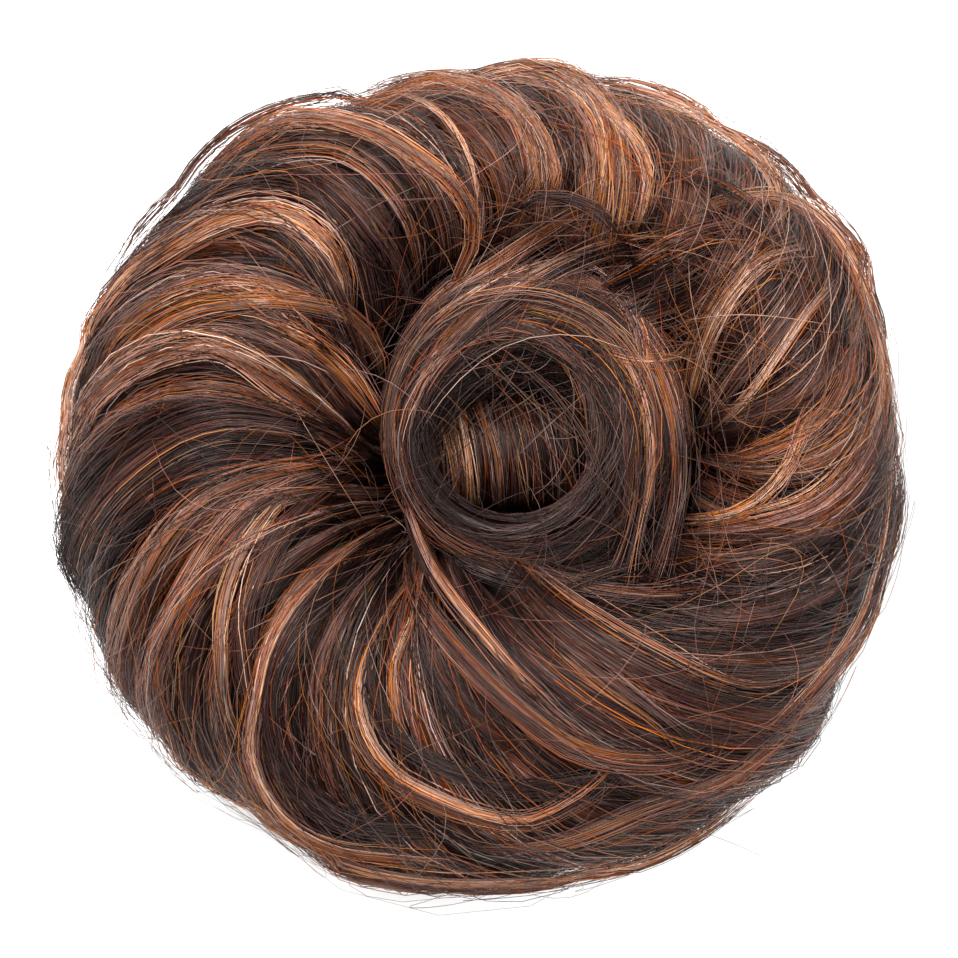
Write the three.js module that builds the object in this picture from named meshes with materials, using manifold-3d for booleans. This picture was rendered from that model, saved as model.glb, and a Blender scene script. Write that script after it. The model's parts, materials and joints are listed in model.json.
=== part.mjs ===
// A top knot hairpiece: curled locks of false hair round an elastic band, lying on its underside.
// Millimetres, +Z up. The origin is on the underside, below the middle of the outline.
import * as THREE from "three";
import { mergeVertices } from "three/addons/utils/BufferGeometryUtils.js";
import Module from "manifold-3d";

const wasm = await Module();
wasm.setup();

// Driving dimensions of the bun
const bunDiameter = 150; // mean diameter of the rim, without loose hairs
const bunHeight = 60; // a full lock's crown above the underside
const lockDepth = 12; // a full lock, from its crown down to the hair under it
const pieceGap = 0.4; // between two pieces that lie on each other
const lockGap = 0.7; // between neighbouring locks, side by side
const eyeOffsetX = 5.4; // the eye of the knot, from the middle of the rim
const eyeOffsetY = 8.2;
const footInset = 2; // the foot's side, this far inside the locks' tails
const footHeight = 6.6; // the foot's side meets the hair above it at this height
const shelfDrop = 1.2; // the shelf round the eye lies this much below the locks' roots

// Driving dimensions of the eye
const eyeDiameter = 30; // clear opening of the centre coil
const coilWidth = 5.4; // centre coil, across
const coilHeight = 10;
const rootRoom = 5.8; // from the centre coil out to the ring of the locks' roots
const archHeight = 12.5; // the lock that lies round the centre coil
const throatWidening = 3; // the way through the hair is this much wider than the eye
const eyeLockDepth = 6; // the lock that lies across the throat
const eyeLockRise = 25; // its crown above the underside
const eyeLockOpening = 8; // the slot that it leaves beside the throat's far wall

// Driving dimensions of the elastic
const bandInnerDiameter = 34;
const bandThickness = 6;
const bandRise = 0.8; // its lowest point above the underside

// How finely the round pieces are divided
const ringSteps = 36;
const archSteps = 30;
const roundSides = 8;

// The sections of a lock, from its root in the eye over the crown and the rim to its tail.
// along: place on the lock. reach: 0 at the root ring, 1 at the rim. height: share of bunHeight.
// depth: share of lockDepth.
const lockSections = [
  { along: 0.0, reach: 0.0, height: 0.6, depth: 0.25 },
  { along: 0.1, reach: 0.07, height: 0.76, depth: 0.5 },
  { along: 0.22, reach: 0.2, height: 0.91, depth: 0.8 },
  { along: 0.34, reach: 0.36, height: 0.985, depth: 1.0 },
  { along: 0.45, reach: 0.52, height: 1.0, depth: 1.0 },
  { along: 0.56, reach: 0.68, height: 0.95, depth: 1.0 },
  { along: 0.66, reach: 0.82, height: 0.83, depth: 0.95 },
  { along: 0.76, reach: 0.93, height: 0.66, depth: 0.9 },
  { along: 0.85, reach: 1.0, height: 0.44, depth: 0.85 },
  { along: 0.92, reach: 0.97, height: 0.22, depth: 0.75 },
  { along: 0.97, reach: 0.86, height: 0.08, depth: 0.55 },
  { along: 1.0, reach: 0.72, height: 0.035, depth: 0.25 },
];
const crownAlong = 0.45; // where a lock passes its crown angle
const rimAlong = 0.85; // and its rim angle
const heartReach = 0.38; // the middle of the ring of hair, measured like the sections
const heartHeight = 0.45;

// A lock's cross-section. across: 0 on the side it springs over, 1 on the side it tucks under.
// rise: share of the lock's depth there.
const lockCrown = [
  { across: 0.0, rise: 0.5 },
  { across: 0.18, rise: 0.88 },
  { across: 0.4, rise: 1.0 },
  { across: 0.62, rise: 0.88 },
  { across: 0.82, rise: 0.6 },
  { across: 1.0, rise: 0.22 },
];

// The locks, in order round the bun: name, rootDeg, crownDeg, rimDeg, root, rim, full and hair.
// rootDeg, crownDeg and rimDeg: the lock's middle line there. root and rim: shares of the root
// ring's and the bun's radius. full: share of lockDepth.
const darkBrown = { color: 0x3f2e2b, roughness: 0.42 };
const warmBrown = { color: 0x5e3d2f, roughness: 0.42 };
const copper = { color: 0x9a6040, roughness: 0.4 };
const lockTable = [
  ["upper_lock_1", 112, 106, 128, 1.12, 1.0, 0.92, darkBrown],
  ["upper_lock_2", 150, 122, 145, 0.96, 1.0, 0.84, warmBrown],
  ["left_lock_1", 172, 134, 157, 0.93, 1.0, 1.0, copper],
  ["left_lock_2", 181, 148, 168, 0.92, 1.01, 0.86, warmBrown],
  ["left_lock_3", 188, 159, 179, 0.92, 1.03, 0.72, copper],
  ["left_lock_4", 194, 171, 190, 0.92, 1.01, 1.0, darkBrown],
  ["left_lock_5", 200, 184, 202, 0.92, 1.01, 0.85, darkBrown],
  ["left_lock_6", 206, 193, 212, 0.92, 1.01, 0.9, copper],
  ["left_lock_7", 211, 202, 226, 0.92, 1.01, 0.84, warmBrown],
  ["lower_lock_1", 216, 211, 240, 0.91, 0.98, 0.76, darkBrown],
  ["lower_lock_2", 222, 222, 256, 0.9, 1.0, 1.0, copper],
  ["lower_lock_3", 228, 238, 275, 0.89, 0.99, 0.84, warmBrown],
  ["lower_lock_4", 234, 264, 300, 0.88, 1.0, 0.9, darkBrown],
  ["lower_lock_5", 242, 292, 322, 0.87, 1.01, 1.0, warmBrown],
  ["lower_lock_6", 268, 318, 340, 0.88, 0.99, 0.86, darkBrown],
  ["right_lock_1", 322, 338, 356, 1.14, 1.02, 0.82, warmBrown],
  ["right_lock_2", 344, 349, 371, 1.25, 1.0, 0.95, copper],
  ["right_lock_3", 354, 363, 382, 1.27, 1.02, 0.8, darkBrown],
  ["right_lock_4", 366, 376, 394, 1.26, 1.04, 0.95, copper],
  ["right_lock_5", 388, 398, 408, 1.23, 1.04, 0.78, warmBrown],
  ["upper_lock_3", 408, 416, 428, 1.2, 1.01, 0.9, copper],
  ["upper_lock_4", 428, 430, 443, 1.17, 0.98, 1.0, copper],
  ["upper_lock_5", 450, 446, 462, 1.14, 0.97, 0.86, darkBrown],
].map(([name, rootDeg, crownDeg, rimDeg, root, rim, full, hair]) => ({
  name,
  rootDeg,
  crownDeg,
  rimDeg,
  root,
  rim,
  full,
  hair,
}));
const fullTurn = 360;

const eyeCentre = new THREE.Vector2(eyeOffsetX, eyeOffsetY);
const coilOuterRadius = eyeDiameter / 2 + coilWidth;
const throatRadius = (eyeDiameter + throatWidening) / 2;

// The middle of two neighbouring locks' table values: the line that parts them.
function between(lock, next, turned) {
  const mean = (key, turn = 0) => (lock[key] + next[key] + turn) / 2;
  return {
    rootDeg: mean("rootDeg", turned),
    crownDeg: mean("crownDeg", turned),
    rimDeg: mean("rimDeg", turned),
    root: mean("root"),
    rim: mean("rim"),
  };
}

function partingAfter(index) {
  const last = lockTable.length - 1;
  const wraps = index === last;
  return between(lockTable[index], lockTable[wraps ? 0 : index + 1], wraps ? fullTurn : 0);
}

function partingBefore(index) {
  if (index > 0) return partingAfter(index - 1);
  const parting = partingAfter(lockTable.length - 1);
  for (const key of ["rootDeg", "crownDeg", "rimDeg"]) parting[key] -= fullTurn;
  return parting;
}

// A line's angle at a place along it: the parabola through its root, crown and rim angles.
function angleAt(line, along) {
  const root = ((along - crownAlong) * (along - rimAlong)) / (crownAlong * rimAlong);
  const crown = (along * (along - rimAlong)) / (crownAlong * (crownAlong - rimAlong));
  const rim = (along * (along - crownAlong)) / (rimAlong * (rimAlong - crownAlong));
  const degrees = line.rootDeg * root + line.crownDeg * crown + line.rimDeg * rim;
  return THREE.MathUtils.degToRad(degrees);
}

// Radius and height on one line, from a reach and a share of the height, before it is turned.
function inPlane(line, reach, height) {
  const rootRadius = (coilOuterRadius + rootRoom) * line.root;
  const rimRadius = (bunDiameter / 2) * line.rim;
  return new THREE.Vector2(THREE.MathUtils.lerp(rootRadius, rimRadius, reach), bunHeight * height);
}

// The direction out of the hair on a line: away from the heart of the ring of hair.
function outward(line, row) {
  const heart = inPlane(line, heartReach, heartHeight);
  return inPlane(line, row.reach, row.height).sub(heart).normalize();
}

// A point in space: flat holds a radius and a height, and the axis moves from the eye to the
// middle of the bun as the lock reaches out.
function placed(flat, angle, reach) {
  const axis = eyeCentre.clone().multiplyScalar(1 - reach);
  return new THREE.Vector3(
    axis.x + flat.x * Math.cos(angle),
    axis.y + flat.x * Math.sin(angle),
    flat.y,
  );
}

// Where a line meets the hair under the locks, and the direction out of it there.
function underLine(line, index) {
  const row = lockSections[index];
  const normal = outward(line, row);
  const flat = inPlane(line, row.reach, row.height);
  flat.addScaledVector(normal, -lockDepth * row.depth - pieceGap);
  const angle = angleAt(line, row.along);
  return {
    point: placed(flat, angle, row.reach),
    normal: new THREE.Vector3(normal.x * Math.cos(angle), normal.x * Math.sin(angle), normal.y),
  };
}

const rootHeights = lockTable.map((lock) => underLine(lock, 0).point.z);
const shelfHeight = Math.min(...rootHeights) - shelfDrop;

// A closed solid through sections with the same number of points, each listed anticlockwise
// as seen from the next. A ring joins its last section to its first, and others get ends that fan
// out from each section's first point.
function loft(sections, isRing = false) {
  const count = sections[0].length;
  const points = sections.flat();
  const faces = [];
  const bands = isRing ? sections.length : sections.length - 1;
  for (let i = 0; i < bands; i++) {
    const near = i * count;
    const far = ((i + 1) % sections.length) * count;
    for (let j = 0; j < count; j++) {
      const k = (j + 1) % count;
      faces.push(near + j, near + k, far + k, near + j, far + k, far + j);
    }
  }
  if (!isRing) {
    const end = (sections.length - 1) * count;
    for (let j = 1; j < count - 1; j++) {
      faces.push(0, j + 1, j, end, end + j, end + j + 1);
    }
  }
  return new THREE.BufferGeometry().setFromPoints(points).setIndex(faces);
}

function toSolid(geometry) {
  const bare = geometry.clone().deleteAttribute("normal").deleteAttribute("uv");
  const merged = mergeVertices(bare, 1e-4);
  return new wasm.Manifold(
    new wasm.Mesh({
      numProp: 3,
      vertProperties: merged.attributes.position.array,
      triVerts: new Uint32Array(merged.index.array),
    }),
  );
}

function toGeometry(solid) {
  const mesh = solid.getMesh();
  return new THREE.BufferGeometry()
    .setAttribute("position", new THREE.BufferAttribute(mesh.vertProperties, 3))
    .setIndex(new THREE.BufferAttribute(mesh.triVerts, 1));
}

// One curled lock: its underside follows the hair below, and its crown swells over it.
function lockGeometry(index) {
  const lock = lockTable[index];
  const lines = [partingBefore(index), lock, partingAfter(index)];
  const sections = lockSections.map((row, i) => {
    const [before, middle, after] = lines.map((line) => underLine(line, i));
    const inset = lockGap / 2 / before.point.distanceTo(after.point);
    const lifted = (across, rise) => {
      const from = across < 0.5 ? before : middle;
      const to = across < 0.5 ? middle : after;
      const share = across < 0.5 ? across * 2 : across * 2 - 1;
      const normal = from.normal.clone().lerp(to.normal, share).normalize();
      return from.point.clone().lerp(to.point, share).addScaledVector(normal, rise);
    };
    const crown = lockCrown.map(({ across, rise }) =>
      lifted(
        THREE.MathUtils.clamp(across, inset, 1 - inset),
        pieceGap + lockDepth * row.depth * lock.full * rise,
      ),
    );
    const under = (across) => lifted(across, pieceGap);
    return [under(0.5), under(1 - inset), ...crown.reverse(), under(inset)];
  });
  return loft(sections);
}

// The hair that the locks lie on: a dome on a flat foot, with the throat and the band's seat cut out.
function hairBaseGeometry() {
  const lines = lockTable.flatMap((lock, index) => [lock, partingAfter(index)]);
  const rows = lockSections.map((row, i) => lines.map((line) => underLine(line, i).point));
  const tails = rows[rows.length - 1];
  const centre = tails.reduce((sum, tail) => sum.add(tail), new THREE.Vector3());
  centre.divideScalar(tails.length);
  const footTop = tails.map((tail) => {
    const out = tail.clone().sub(centre).setZ(0);
    return tail.clone().sub(out.setLength(footInset)).setZ(footHeight);
  });
  const foot = footTop.map((point) => point.clone().setZ(0));
  const shelf = rows[0].map((point) => point.clone().setZ(shelfHeight));
  const rings = [shelf, ...rows, footTop, foot];
  const count = lines.length;
  const points = rings.flat();
  const top = points.push(new THREE.Vector3(eyeOffsetX, eyeOffsetY, shelfHeight)) - 1;
  const bottom = points.push(new THREE.Vector3(eyeOffsetX, eyeOffsetY, 0)) - 1;
  const faces = [];
  for (let j = 0; j < count; j++) {
    const k = (j + 1) % count;
    const lastRing = (rings.length - 1) * count;
    faces.push(top, j, k, bottom, lastRing + k, lastRing + j);
    for (let i = 0; i < lastRing; i += count) {
      faces.push(i + j, i + count + j, i + count + k, i + j, i + count + k, i + k);
    }
  }
  const dome = toSolid(new THREE.BufferGeometry().setFromPoints(points).setIndex(faces));
  return toGeometry(dome.subtract(throatCutter()));
}

// The space cut out of the hair base: the throat, and under it a wider seat for the band.
function throatCutter() {
  const seatRadius = bandInnerDiameter / 2 + bandThickness + pieceGap;
  const seatTop = bandRise + bandThickness + pieceGap;
  const profile = [
    [0, -bunHeight],
    [seatRadius, -bunHeight],
    [seatRadius, seatTop],
    [throatRadius, seatTop],
    [throatRadius, bunHeight],
    [0, bunHeight],
  ].map(([radius, height]) => new THREE.Vector2(radius, height));
  const cutter = new THREE.LatheGeometry(profile, ringSteps);
  cutter.rotateX(Math.PI / 2);
  cutter.translate(eyeOffsetX, eyeOffsetY, 0);
  return toSolid(cutter);
}

// A rounded section in an upright plane through the eye's axis.
function uprightSection(radius, height, halfWidth, halfHeight, angle) {
  return Array.from({ length: roundSides }, (_, side) => {
    const turn = (side / roundSides) * 2 * Math.PI;
    const out = radius + halfWidth * Math.cos(turn);
    return new THREE.Vector3(
      eyeOffsetX + out * Math.cos(angle),
      eyeOffsetY + out * Math.sin(angle),
      height - halfHeight * Math.sin(turn),
    );
  });
}

// A ring round the eye's axis with the same rounded section all round.
function ringGeometry(middleRadius, height, halfWidth, halfHeight) {
  const sections = Array.from({ length: ringSteps }, (_, step) =>
    uprightSection(middleRadius, height, halfWidth, halfHeight, (step / ringSteps) * 2 * Math.PI),
  );
  return loft(sections, true);
}

function centreCoilGeometry() {
  const height = shelfHeight + pieceGap + coilHeight / 2;
  return ringGeometry(coilOuterRadius - coilWidth / 2, height, coilWidth / 2, coilHeight / 2);
}

function elasticBandGeometry() {
  const radius = (bandInnerDiameter + bandThickness) / 2;
  return ringGeometry(radius, bandRise + bandThickness / 2, bandThickness / 2, bandThickness / 2);
}

// The radius of the ring of roots at an angle round the eye.
function rootRadiusAt(degrees) {
  const first = lockTable[0];
  const turned = THREE.MathUtils.euclideanModulo(degrees - first.rootDeg, fullTurn) + first.rootDeg;
  const ring = [...lockTable, { ...first, rootDeg: first.rootDeg + fullTurn }];
  const after = ring.findIndex((lock) => lock.rootDeg > turned);
  const [from, to] = [ring[after - 1], ring[after]];
  const share = (turned - from.rootDeg) / (to.rootDeg - from.rootDeg);
  return (coilOuterRadius + rootRoom) * THREE.MathUtils.lerp(from.root, to.root, share);
}

// The lock that comes up on the left of the coil, runs round above it and goes down on the right.
const archStartDeg = 222;
const archEndDeg = -44;
const archTip = 0.3; // its section at both ends, as a share of the full one
const rootSag = 0.5; // the flat ends of the roots lie this much inside their ring
function archLockGeometry() {
  const sections = Array.from({ length: archSteps + 1 }, (_, step) => {
    const along = step / archSteps;
    const degrees = THREE.MathUtils.lerp(archStartDeg, archEndDeg, along);
    const inner = coilOuterRadius + pieceGap;
    const outer = rootRadiusAt(degrees) - pieceGap - rootSag;
    const swell = archTip + (1 - archTip) * Math.sqrt(Math.sin(Math.PI * along));
    const halfWidth = ((outer - inner) / 2) * swell;
    const halfHeight = (archHeight / 2) * swell;
    const height = shelfHeight + pieceGap + halfHeight;
    const angle = THREE.MathUtils.degToRad(degrees);
    return uprightSection((inner + outer) / 2, height, halfWidth, halfHeight, angle).reverse();
  });
  return loft(sections);
}

// The lock that lies across the throat. It rises from the near wall and dips before the far one.
const eyeLockSections = [
  { along: 0.0, height: 0.72 },
  { along: 0.2, height: 0.88 },
  { along: 0.4, height: 0.97 },
  { along: 0.6, height: 1.0 },
  { along: 0.78, height: 0.95 },
  { along: 0.91, height: 0.84 },
  { along: 1.0, height: 0.7 },
];
const eyeLockStart = 0.9; // its near end, as a share of the throat's radius
const eyeLockEdge = 0.45; // its thickness at the sides, as a share of the middle's
function eyeLockGeometry() {
  const radius = throatRadius * Math.cos(Math.PI / ringSteps) - pieceGap;
  const sections = eyeLockSections.map((row) => {
    const y = THREE.MathUtils.lerp(-radius * eyeLockStart, radius - eyeLockOpening, row.along);
    const halfWidth = Math.sqrt(radius * radius - y * y);
    const top = eyeLockRise * row.height;
    const point = (share, height) =>
      new THREE.Vector3(eyeOffsetX + halfWidth * share, eyeOffsetY + y, height);
    const drop = (share) => eyeLockDepth * (1 - eyeLockEdge) * share * share;
    const crown = [-1, -0.6, 0, 0.6, 1].map((share) => point(share, top - drop(share)));
    const under = [1, 0, -1].map((share) => point(share, top - eyeLockDepth));
    return [...crown, ...under];
  });
  return loft(sections);
}

function hairMesh(name, geometry, hair) {
  const material = new THREE.MeshStandardMaterial({ ...hair, metalness: 0 });
  const mesh = new THREE.Mesh(geometry, material);
  mesh.name = name;
  return mesh;
}

const rubber = { color: 0x1c1a1a, roughness: 0.75 };
const bun = new THREE.Group();
bun.add(hairMesh("elastic_band", elasticBandGeometry(), rubber));
bun.add(hairMesh("hair_base", hairBaseGeometry(), darkBrown));
bun.add(hairMesh("eye_lock", eyeLockGeometry(), warmBrown));
bun.add(hairMesh("centre_coil", centreCoilGeometry(), warmBrown));
bun.add(hairMesh("arch_lock", archLockGeometry(), darkBrown));
lockTable.forEach((lock, index) => bun.add(hairMesh(lock.name, lockGeometry(index), lock.hair)));

const outlineBox = new THREE.Box3().setFromObject(bun);
const middle = outlineBox.getCenter(new THREE.Vector3());
bun.position.set(-middle.x, -middle.y, -outlineBox.min.z);

const hairpiece = new THREE.Group();
hairpiece.add(bun);
export default hairpiece;
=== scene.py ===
import json
import math

import bpy
import numpy as np
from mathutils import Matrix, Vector


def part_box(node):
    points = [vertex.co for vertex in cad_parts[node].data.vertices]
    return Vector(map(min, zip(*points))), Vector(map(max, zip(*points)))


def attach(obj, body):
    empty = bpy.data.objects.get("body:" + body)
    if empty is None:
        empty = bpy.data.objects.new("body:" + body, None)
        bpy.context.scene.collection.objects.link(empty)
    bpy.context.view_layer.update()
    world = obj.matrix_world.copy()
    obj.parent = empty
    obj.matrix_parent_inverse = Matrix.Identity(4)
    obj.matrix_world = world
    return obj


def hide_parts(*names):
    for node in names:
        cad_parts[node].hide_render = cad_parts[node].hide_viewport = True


# A top knot hairpiece: curled locks of two-tone false hair round an elastic, lying on its
# underside. Lengths in the dictionaries are millimetres, and angles are degrees anticlockwise
# from +X.
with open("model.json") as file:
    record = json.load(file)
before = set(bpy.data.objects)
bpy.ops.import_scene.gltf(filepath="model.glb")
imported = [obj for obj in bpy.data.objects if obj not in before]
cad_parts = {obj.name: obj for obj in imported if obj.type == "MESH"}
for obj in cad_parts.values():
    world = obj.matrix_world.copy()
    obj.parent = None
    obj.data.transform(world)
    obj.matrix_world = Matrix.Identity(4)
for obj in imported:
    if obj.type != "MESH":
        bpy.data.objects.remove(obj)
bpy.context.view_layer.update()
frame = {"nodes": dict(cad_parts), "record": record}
print("frame loaded:", len(frame["nodes"]), "nodes")

mm = 0.001

# The bun that all the hair follows. Its locks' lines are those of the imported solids.
bun = {
    "diameter": 150.0,  # mean rim
    "height": 60.0,
    "lockDepth": 12.0,
    "rootRadius": 26.2,  # mean ring of the roots round the eye
    "eyeX": 5.4,  # the eye, from the middle of the rim
    "eyeY": 8.2,
    "heartReach": 0.38,  # the middle of the ring of hair
    "heartHeight": 0.45,
    "crownAlong": 0.45,
    "rimAlong": 0.85,
    "rimFill": 0.7,  # share of a valley between two locks that loose hair fills at the rim
    "clearance": 0.5,  # least height of a loose strand over the floor
}
eyeLow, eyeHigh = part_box("centre_coil")
eyeX = (eyeLow.x + eyeHigh.x) / 2 / mm
eyeY = (eyeLow.y + eyeHigh.y) / 2 / mm
middleX = eyeX - bun["eyeX"]
middleY = eyeY - bun["eyeY"]

# A lock's line from under the coil over the crown and the rim to its tail. reach is 0 at the
# root ring and 1 at the rim, height is a share of the bun's, depth a share of a lock's.
lineTable = {
    "along": [-0.08, 0.0, 0.1, 0.22, 0.34, 0.45, 0.56, 0.66, 0.76, 0.85, 0.92, 0.97, 1.0],
    "reach": [-0.1, 0.0, 0.07, 0.2, 0.36, 0.52, 0.68, 0.82, 0.93, 1.0, 0.97, 0.86, 0.72],
    "height": [0.565, 0.6, 0.76, 0.91, 0.985, 1.0, 0.95, 0.83, 0.66, 0.44, 0.22, 0.08, 0.035],
    "depth": [0.1, 0.25, 0.5, 0.8, 1.0, 1.0, 1.0, 0.95, 0.9, 0.85, 0.75, 0.55, 0.25],
}
crownTable = {  # a lock's cross-section: rise over the hair under it
    "across": [0.0, 0.18, 0.4, 0.62, 0.82, 1.0],
    "rise": [0.5, 0.88, 1.0, 0.88, 0.6, 0.22],
}

# The locks in order round the bun. tones are the wisps of hair across it, from the side that
# it springs over to the side that it tucks under: d dark, b brown, c copper, g golden.
lockColumns = ["name", "rootDeg", "crownDeg", "rimDeg", "root", "rim", "full", "tones"]
lockTable = [
    ("upper_lock_1", 112, 106, 128, 1.12, 1.0, 0.92, "gcdbcddb"),
    ("upper_lock_2", 150, 122, 145, 0.96, 1.0, 0.84, "dbddbdd"),
    ("left_lock_1", 172, 134, 157, 0.93, 1.0, 1.0, "cbcdbcb"),
    ("left_lock_2", 181, 148, 168, 0.92, 1.01, 0.86, "cdbcbd"),
    ("left_lock_3", 188, 159, 179, 0.92, 1.03, 0.72, "cgcbd"),
    ("left_lock_4", 194, 171, 190, 0.92, 1.01, 1.0, "cbdddd"),
    ("left_lock_5", 200, 184, 202, 0.92, 1.01, 0.85, "ddbddd"),
    ("left_lock_6", 206, 193, 212, 0.92, 1.01, 0.9, "ccbccd"),
    ("left_lock_7", 211, 202, 226, 0.92, 1.01, 0.84, "cgcdcb"),
    ("lower_lock_1", 216, 211, 240, 0.91, 0.98, 0.76, "dcbdd"),
    ("lower_lock_2", 222, 222, 256, 0.9, 1.0, 1.0, "gccdddb"),
    ("lower_lock_3", 228, 238, 275, 0.89, 0.99, 0.84, "ccdbddc"),
    ("lower_lock_4", 234, 264, 300, 0.88, 1.0, 0.9, "cgbddcbd"),
    ("lower_lock_5", 242, 292, 322, 0.87, 1.01, 1.0, "bcdddbcd"),
    ("lower_lock_6", 268, 318, 340, 0.88, 0.99, 0.86, "dcbddbd"),
    ("right_lock_1", 322, 338, 356, 1.14, 1.02, 0.82, "dddbdb"),
    ("right_lock_2", 344, 349, 371, 1.25, 1.0, 0.95, "bcdcbd"),
    ("right_lock_3", 354, 363, 382, 1.27, 1.02, 0.8, "ccdbc"),
    ("right_lock_4", 366, 376, 394, 1.26, 1.04, 0.95, "cgcdbc"),
    ("right_lock_5", 388, 398, 408, 1.23, 1.04, 0.78, "bdbcb"),
    ("upper_lock_3", 408, 416, 428, 1.2, 1.01, 0.9, "cbcbdb"),
    ("upper_lock_4", 428, 430, 443, 1.17, 0.98, 1.0, "gccbccd"),
    ("upper_lock_5", 450, 446, 462, 1.14, 0.97, 0.86, "ccbbccd"),
]
locks = [dict(zip(lockColumns, row)) for row in lockTable]
laneCount = len(locks)
slotByNode = {s["node"]: s["material_slot"] for s in frame["record"]["subparts"]}


def smoothCurve(x, xs, ys):
    # A cubic through each (xs, ys); its slope at a point is that between the point's neighbours.
    xs, ys = np.asarray(xs, float), np.asarray(ys, float)
    slopes = np.gradient(ys, xs)
    i = np.clip(np.searchsorted(xs, x, side="right") - 1, 0, len(xs) - 2)
    h = xs[i + 1] - xs[i]
    t = (x - xs[i]) / h
    return (
        (2 * t**3 - 3 * t**2 + 1) * ys[i]
        + (t**3 - 2 * t**2 + t) * h * slopes[i]
        + (3 * t**2 - 2 * t**3) * ys[i + 1]
        + (t**3 - t**2) * h * slopes[i + 1]
    )


def laneValue(key, lane):
    # A lock's value sits at the middle of its lane, and lanes run on round the bun.
    values = np.array([lock[key] for lock in locks], float)
    turn = 360.0 if key.endswith("Deg") else 0.0
    around = np.concatenate([values[-3:] - turn, values, values[:3] + turn])
    return smoothCurve(lane, np.arange(-3, laneCount + 3) + 0.5, around)


def lineAngle(lane, along):
    # The parabola through a lane's root, crown and rim angles.
    crownAt, rimAt = bun["crownAlong"], bun["rimAlong"]
    root = (along - crownAt) * (along - rimAt) / (crownAt * rimAt)
    crown = along * (along - rimAt) / (crownAt * (crownAt - rimAt))
    rim = along * (along - crownAt) / (rimAt * (rimAt - crownAt))
    degrees = laneValue("rootDeg", lane) * root + laneValue("crownDeg", lane) * crown
    return np.radians(degrees + laneValue("rimDeg", lane) * rim)


def hairPoint(lane, along, lift):
    # The outline at (lane, along), moved out of the ring of hair by lift, turned round an axis
    # that goes from the eye to the middle of the rim as the hair reaches out. Millimetres.
    lane, along, lift = np.broadcast_arrays(lane, along, lift)
    rootRadius = bun["rootRadius"] * laneValue("root", lane)
    span = bun["diameter"] / 2 * laneValue("rim", lane) - rootRadius
    reach = smoothCurve(along, lineTable["along"], lineTable["reach"])
    height = smoothCurve(along, lineTable["along"], lineTable["height"])
    radius = rootRadius + span * reach
    z = bun["height"] * height
    outR = radius - (rootRadius + span * bun["heartReach"])
    outZ = z - bun["height"] * bun["heartHeight"]
    size = np.hypot(outR, outZ)
    radius = radius + lift * outR / size
    z = z + lift * outZ / size
    angle = lineAngle(lane, along)
    x = middleX + bun["eyeX"] * (1 - reach) + radius * np.cos(angle)
    y = middleY + bun["eyeY"] * (1 - reach) + radius * np.sin(angle)
    return np.stack([x, y, z], -1)


def eyePoint(degrees, radius, z):
    # A point on a circle round the middle of the eye. Millimetres.
    degrees, radius, z = np.broadcast_arrays(degrees, radius, z)
    turn = np.radians(degrees)
    return np.stack([eyeX + radius * np.cos(turn), eyeY + radius * np.sin(turn), z], -1)


def aboveFloor(paths):
    paths[..., 2] = np.maximum(paths[..., 2], bun["clearance"])
    return paths


def hairDepth(along):
    return bun["lockDepth"] * smoothCurve(along, lineTable["along"], lineTable["depth"])


def crownRise(across):
    return smoothCurve(np.clip(across, 0, 1), crownTable["across"], crownTable["rise"])


def lockLift(lock, across, along):
    # The lock's own surface, as a lift from the outline: its crown swells over the hair below,
    # and towards the rim loose hair fills part of the valleys beside it.
    rise = crownRise(across)
    rise = rise + (1 - rise) * bun["rimFill"] * np.clip((along - 0.5) / 0.3, 0, 1)
    return -hairDepth(along) * (1 - lock["full"] * rise)


# Meshes from arrays. A part is points in millimetres, quads, tris, a tone and a place for each
# point, and the corners of the quads and tris on the map.

strand = {
    "thickness": 0.18,
    "tip": 0.35,  # share of the thickness at both ends
    "sides": 3,
    "uvMargin": 0.08,  # of a strand's cell on the map
    "patches": 0.07,  # slow change of tone over the bun
    "patchSize": 7.0,
    "shades": [  # painted shade: x, y and reach of the shaded ground, and how much darker the hair is painted there
        (4.0, -8.0, 27.0, 0.14),
        (38.0, -32.0, 22.0, 0.07),
        (4.0, -60.0, 20.0, 0.05),
    ],
    "hueSpread": 0.008,  # how much redder or yellower one strand is than another
}
bodyMap = (0.0, 0.86, 1.0, 1.0)  # the shares of a map for packed hair and for strands
strandMap = (0.0, 0.0, 1.0, 0.85)
combPitch = 0.06  # streaks of tone in packed hair, from one row of its points to the next


def unit(v):
    return v / np.maximum(np.linalg.norm(v, axis=-1, keepdims=True), 1e-9)


def patchToneAndShade(points):
    # A product of slow sines of the place, bent by its height, less a bell of painted shade for
    # each shade.
    x, y, z = np.moveaxis(points / strand["patchSize"], -1, 0)
    tone = strand["patches"] * np.sin(x + 2 * np.sin(z)) * np.sin(y + 1.3 * z)
    for atX, atY, reach, depth in strand["shades"]:
        away = np.hypot(points[..., 0] - atX, points[..., 1] - atY)
        tone = tone - depth * np.exp(-((away / reach) ** 2))
    return tone


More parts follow.
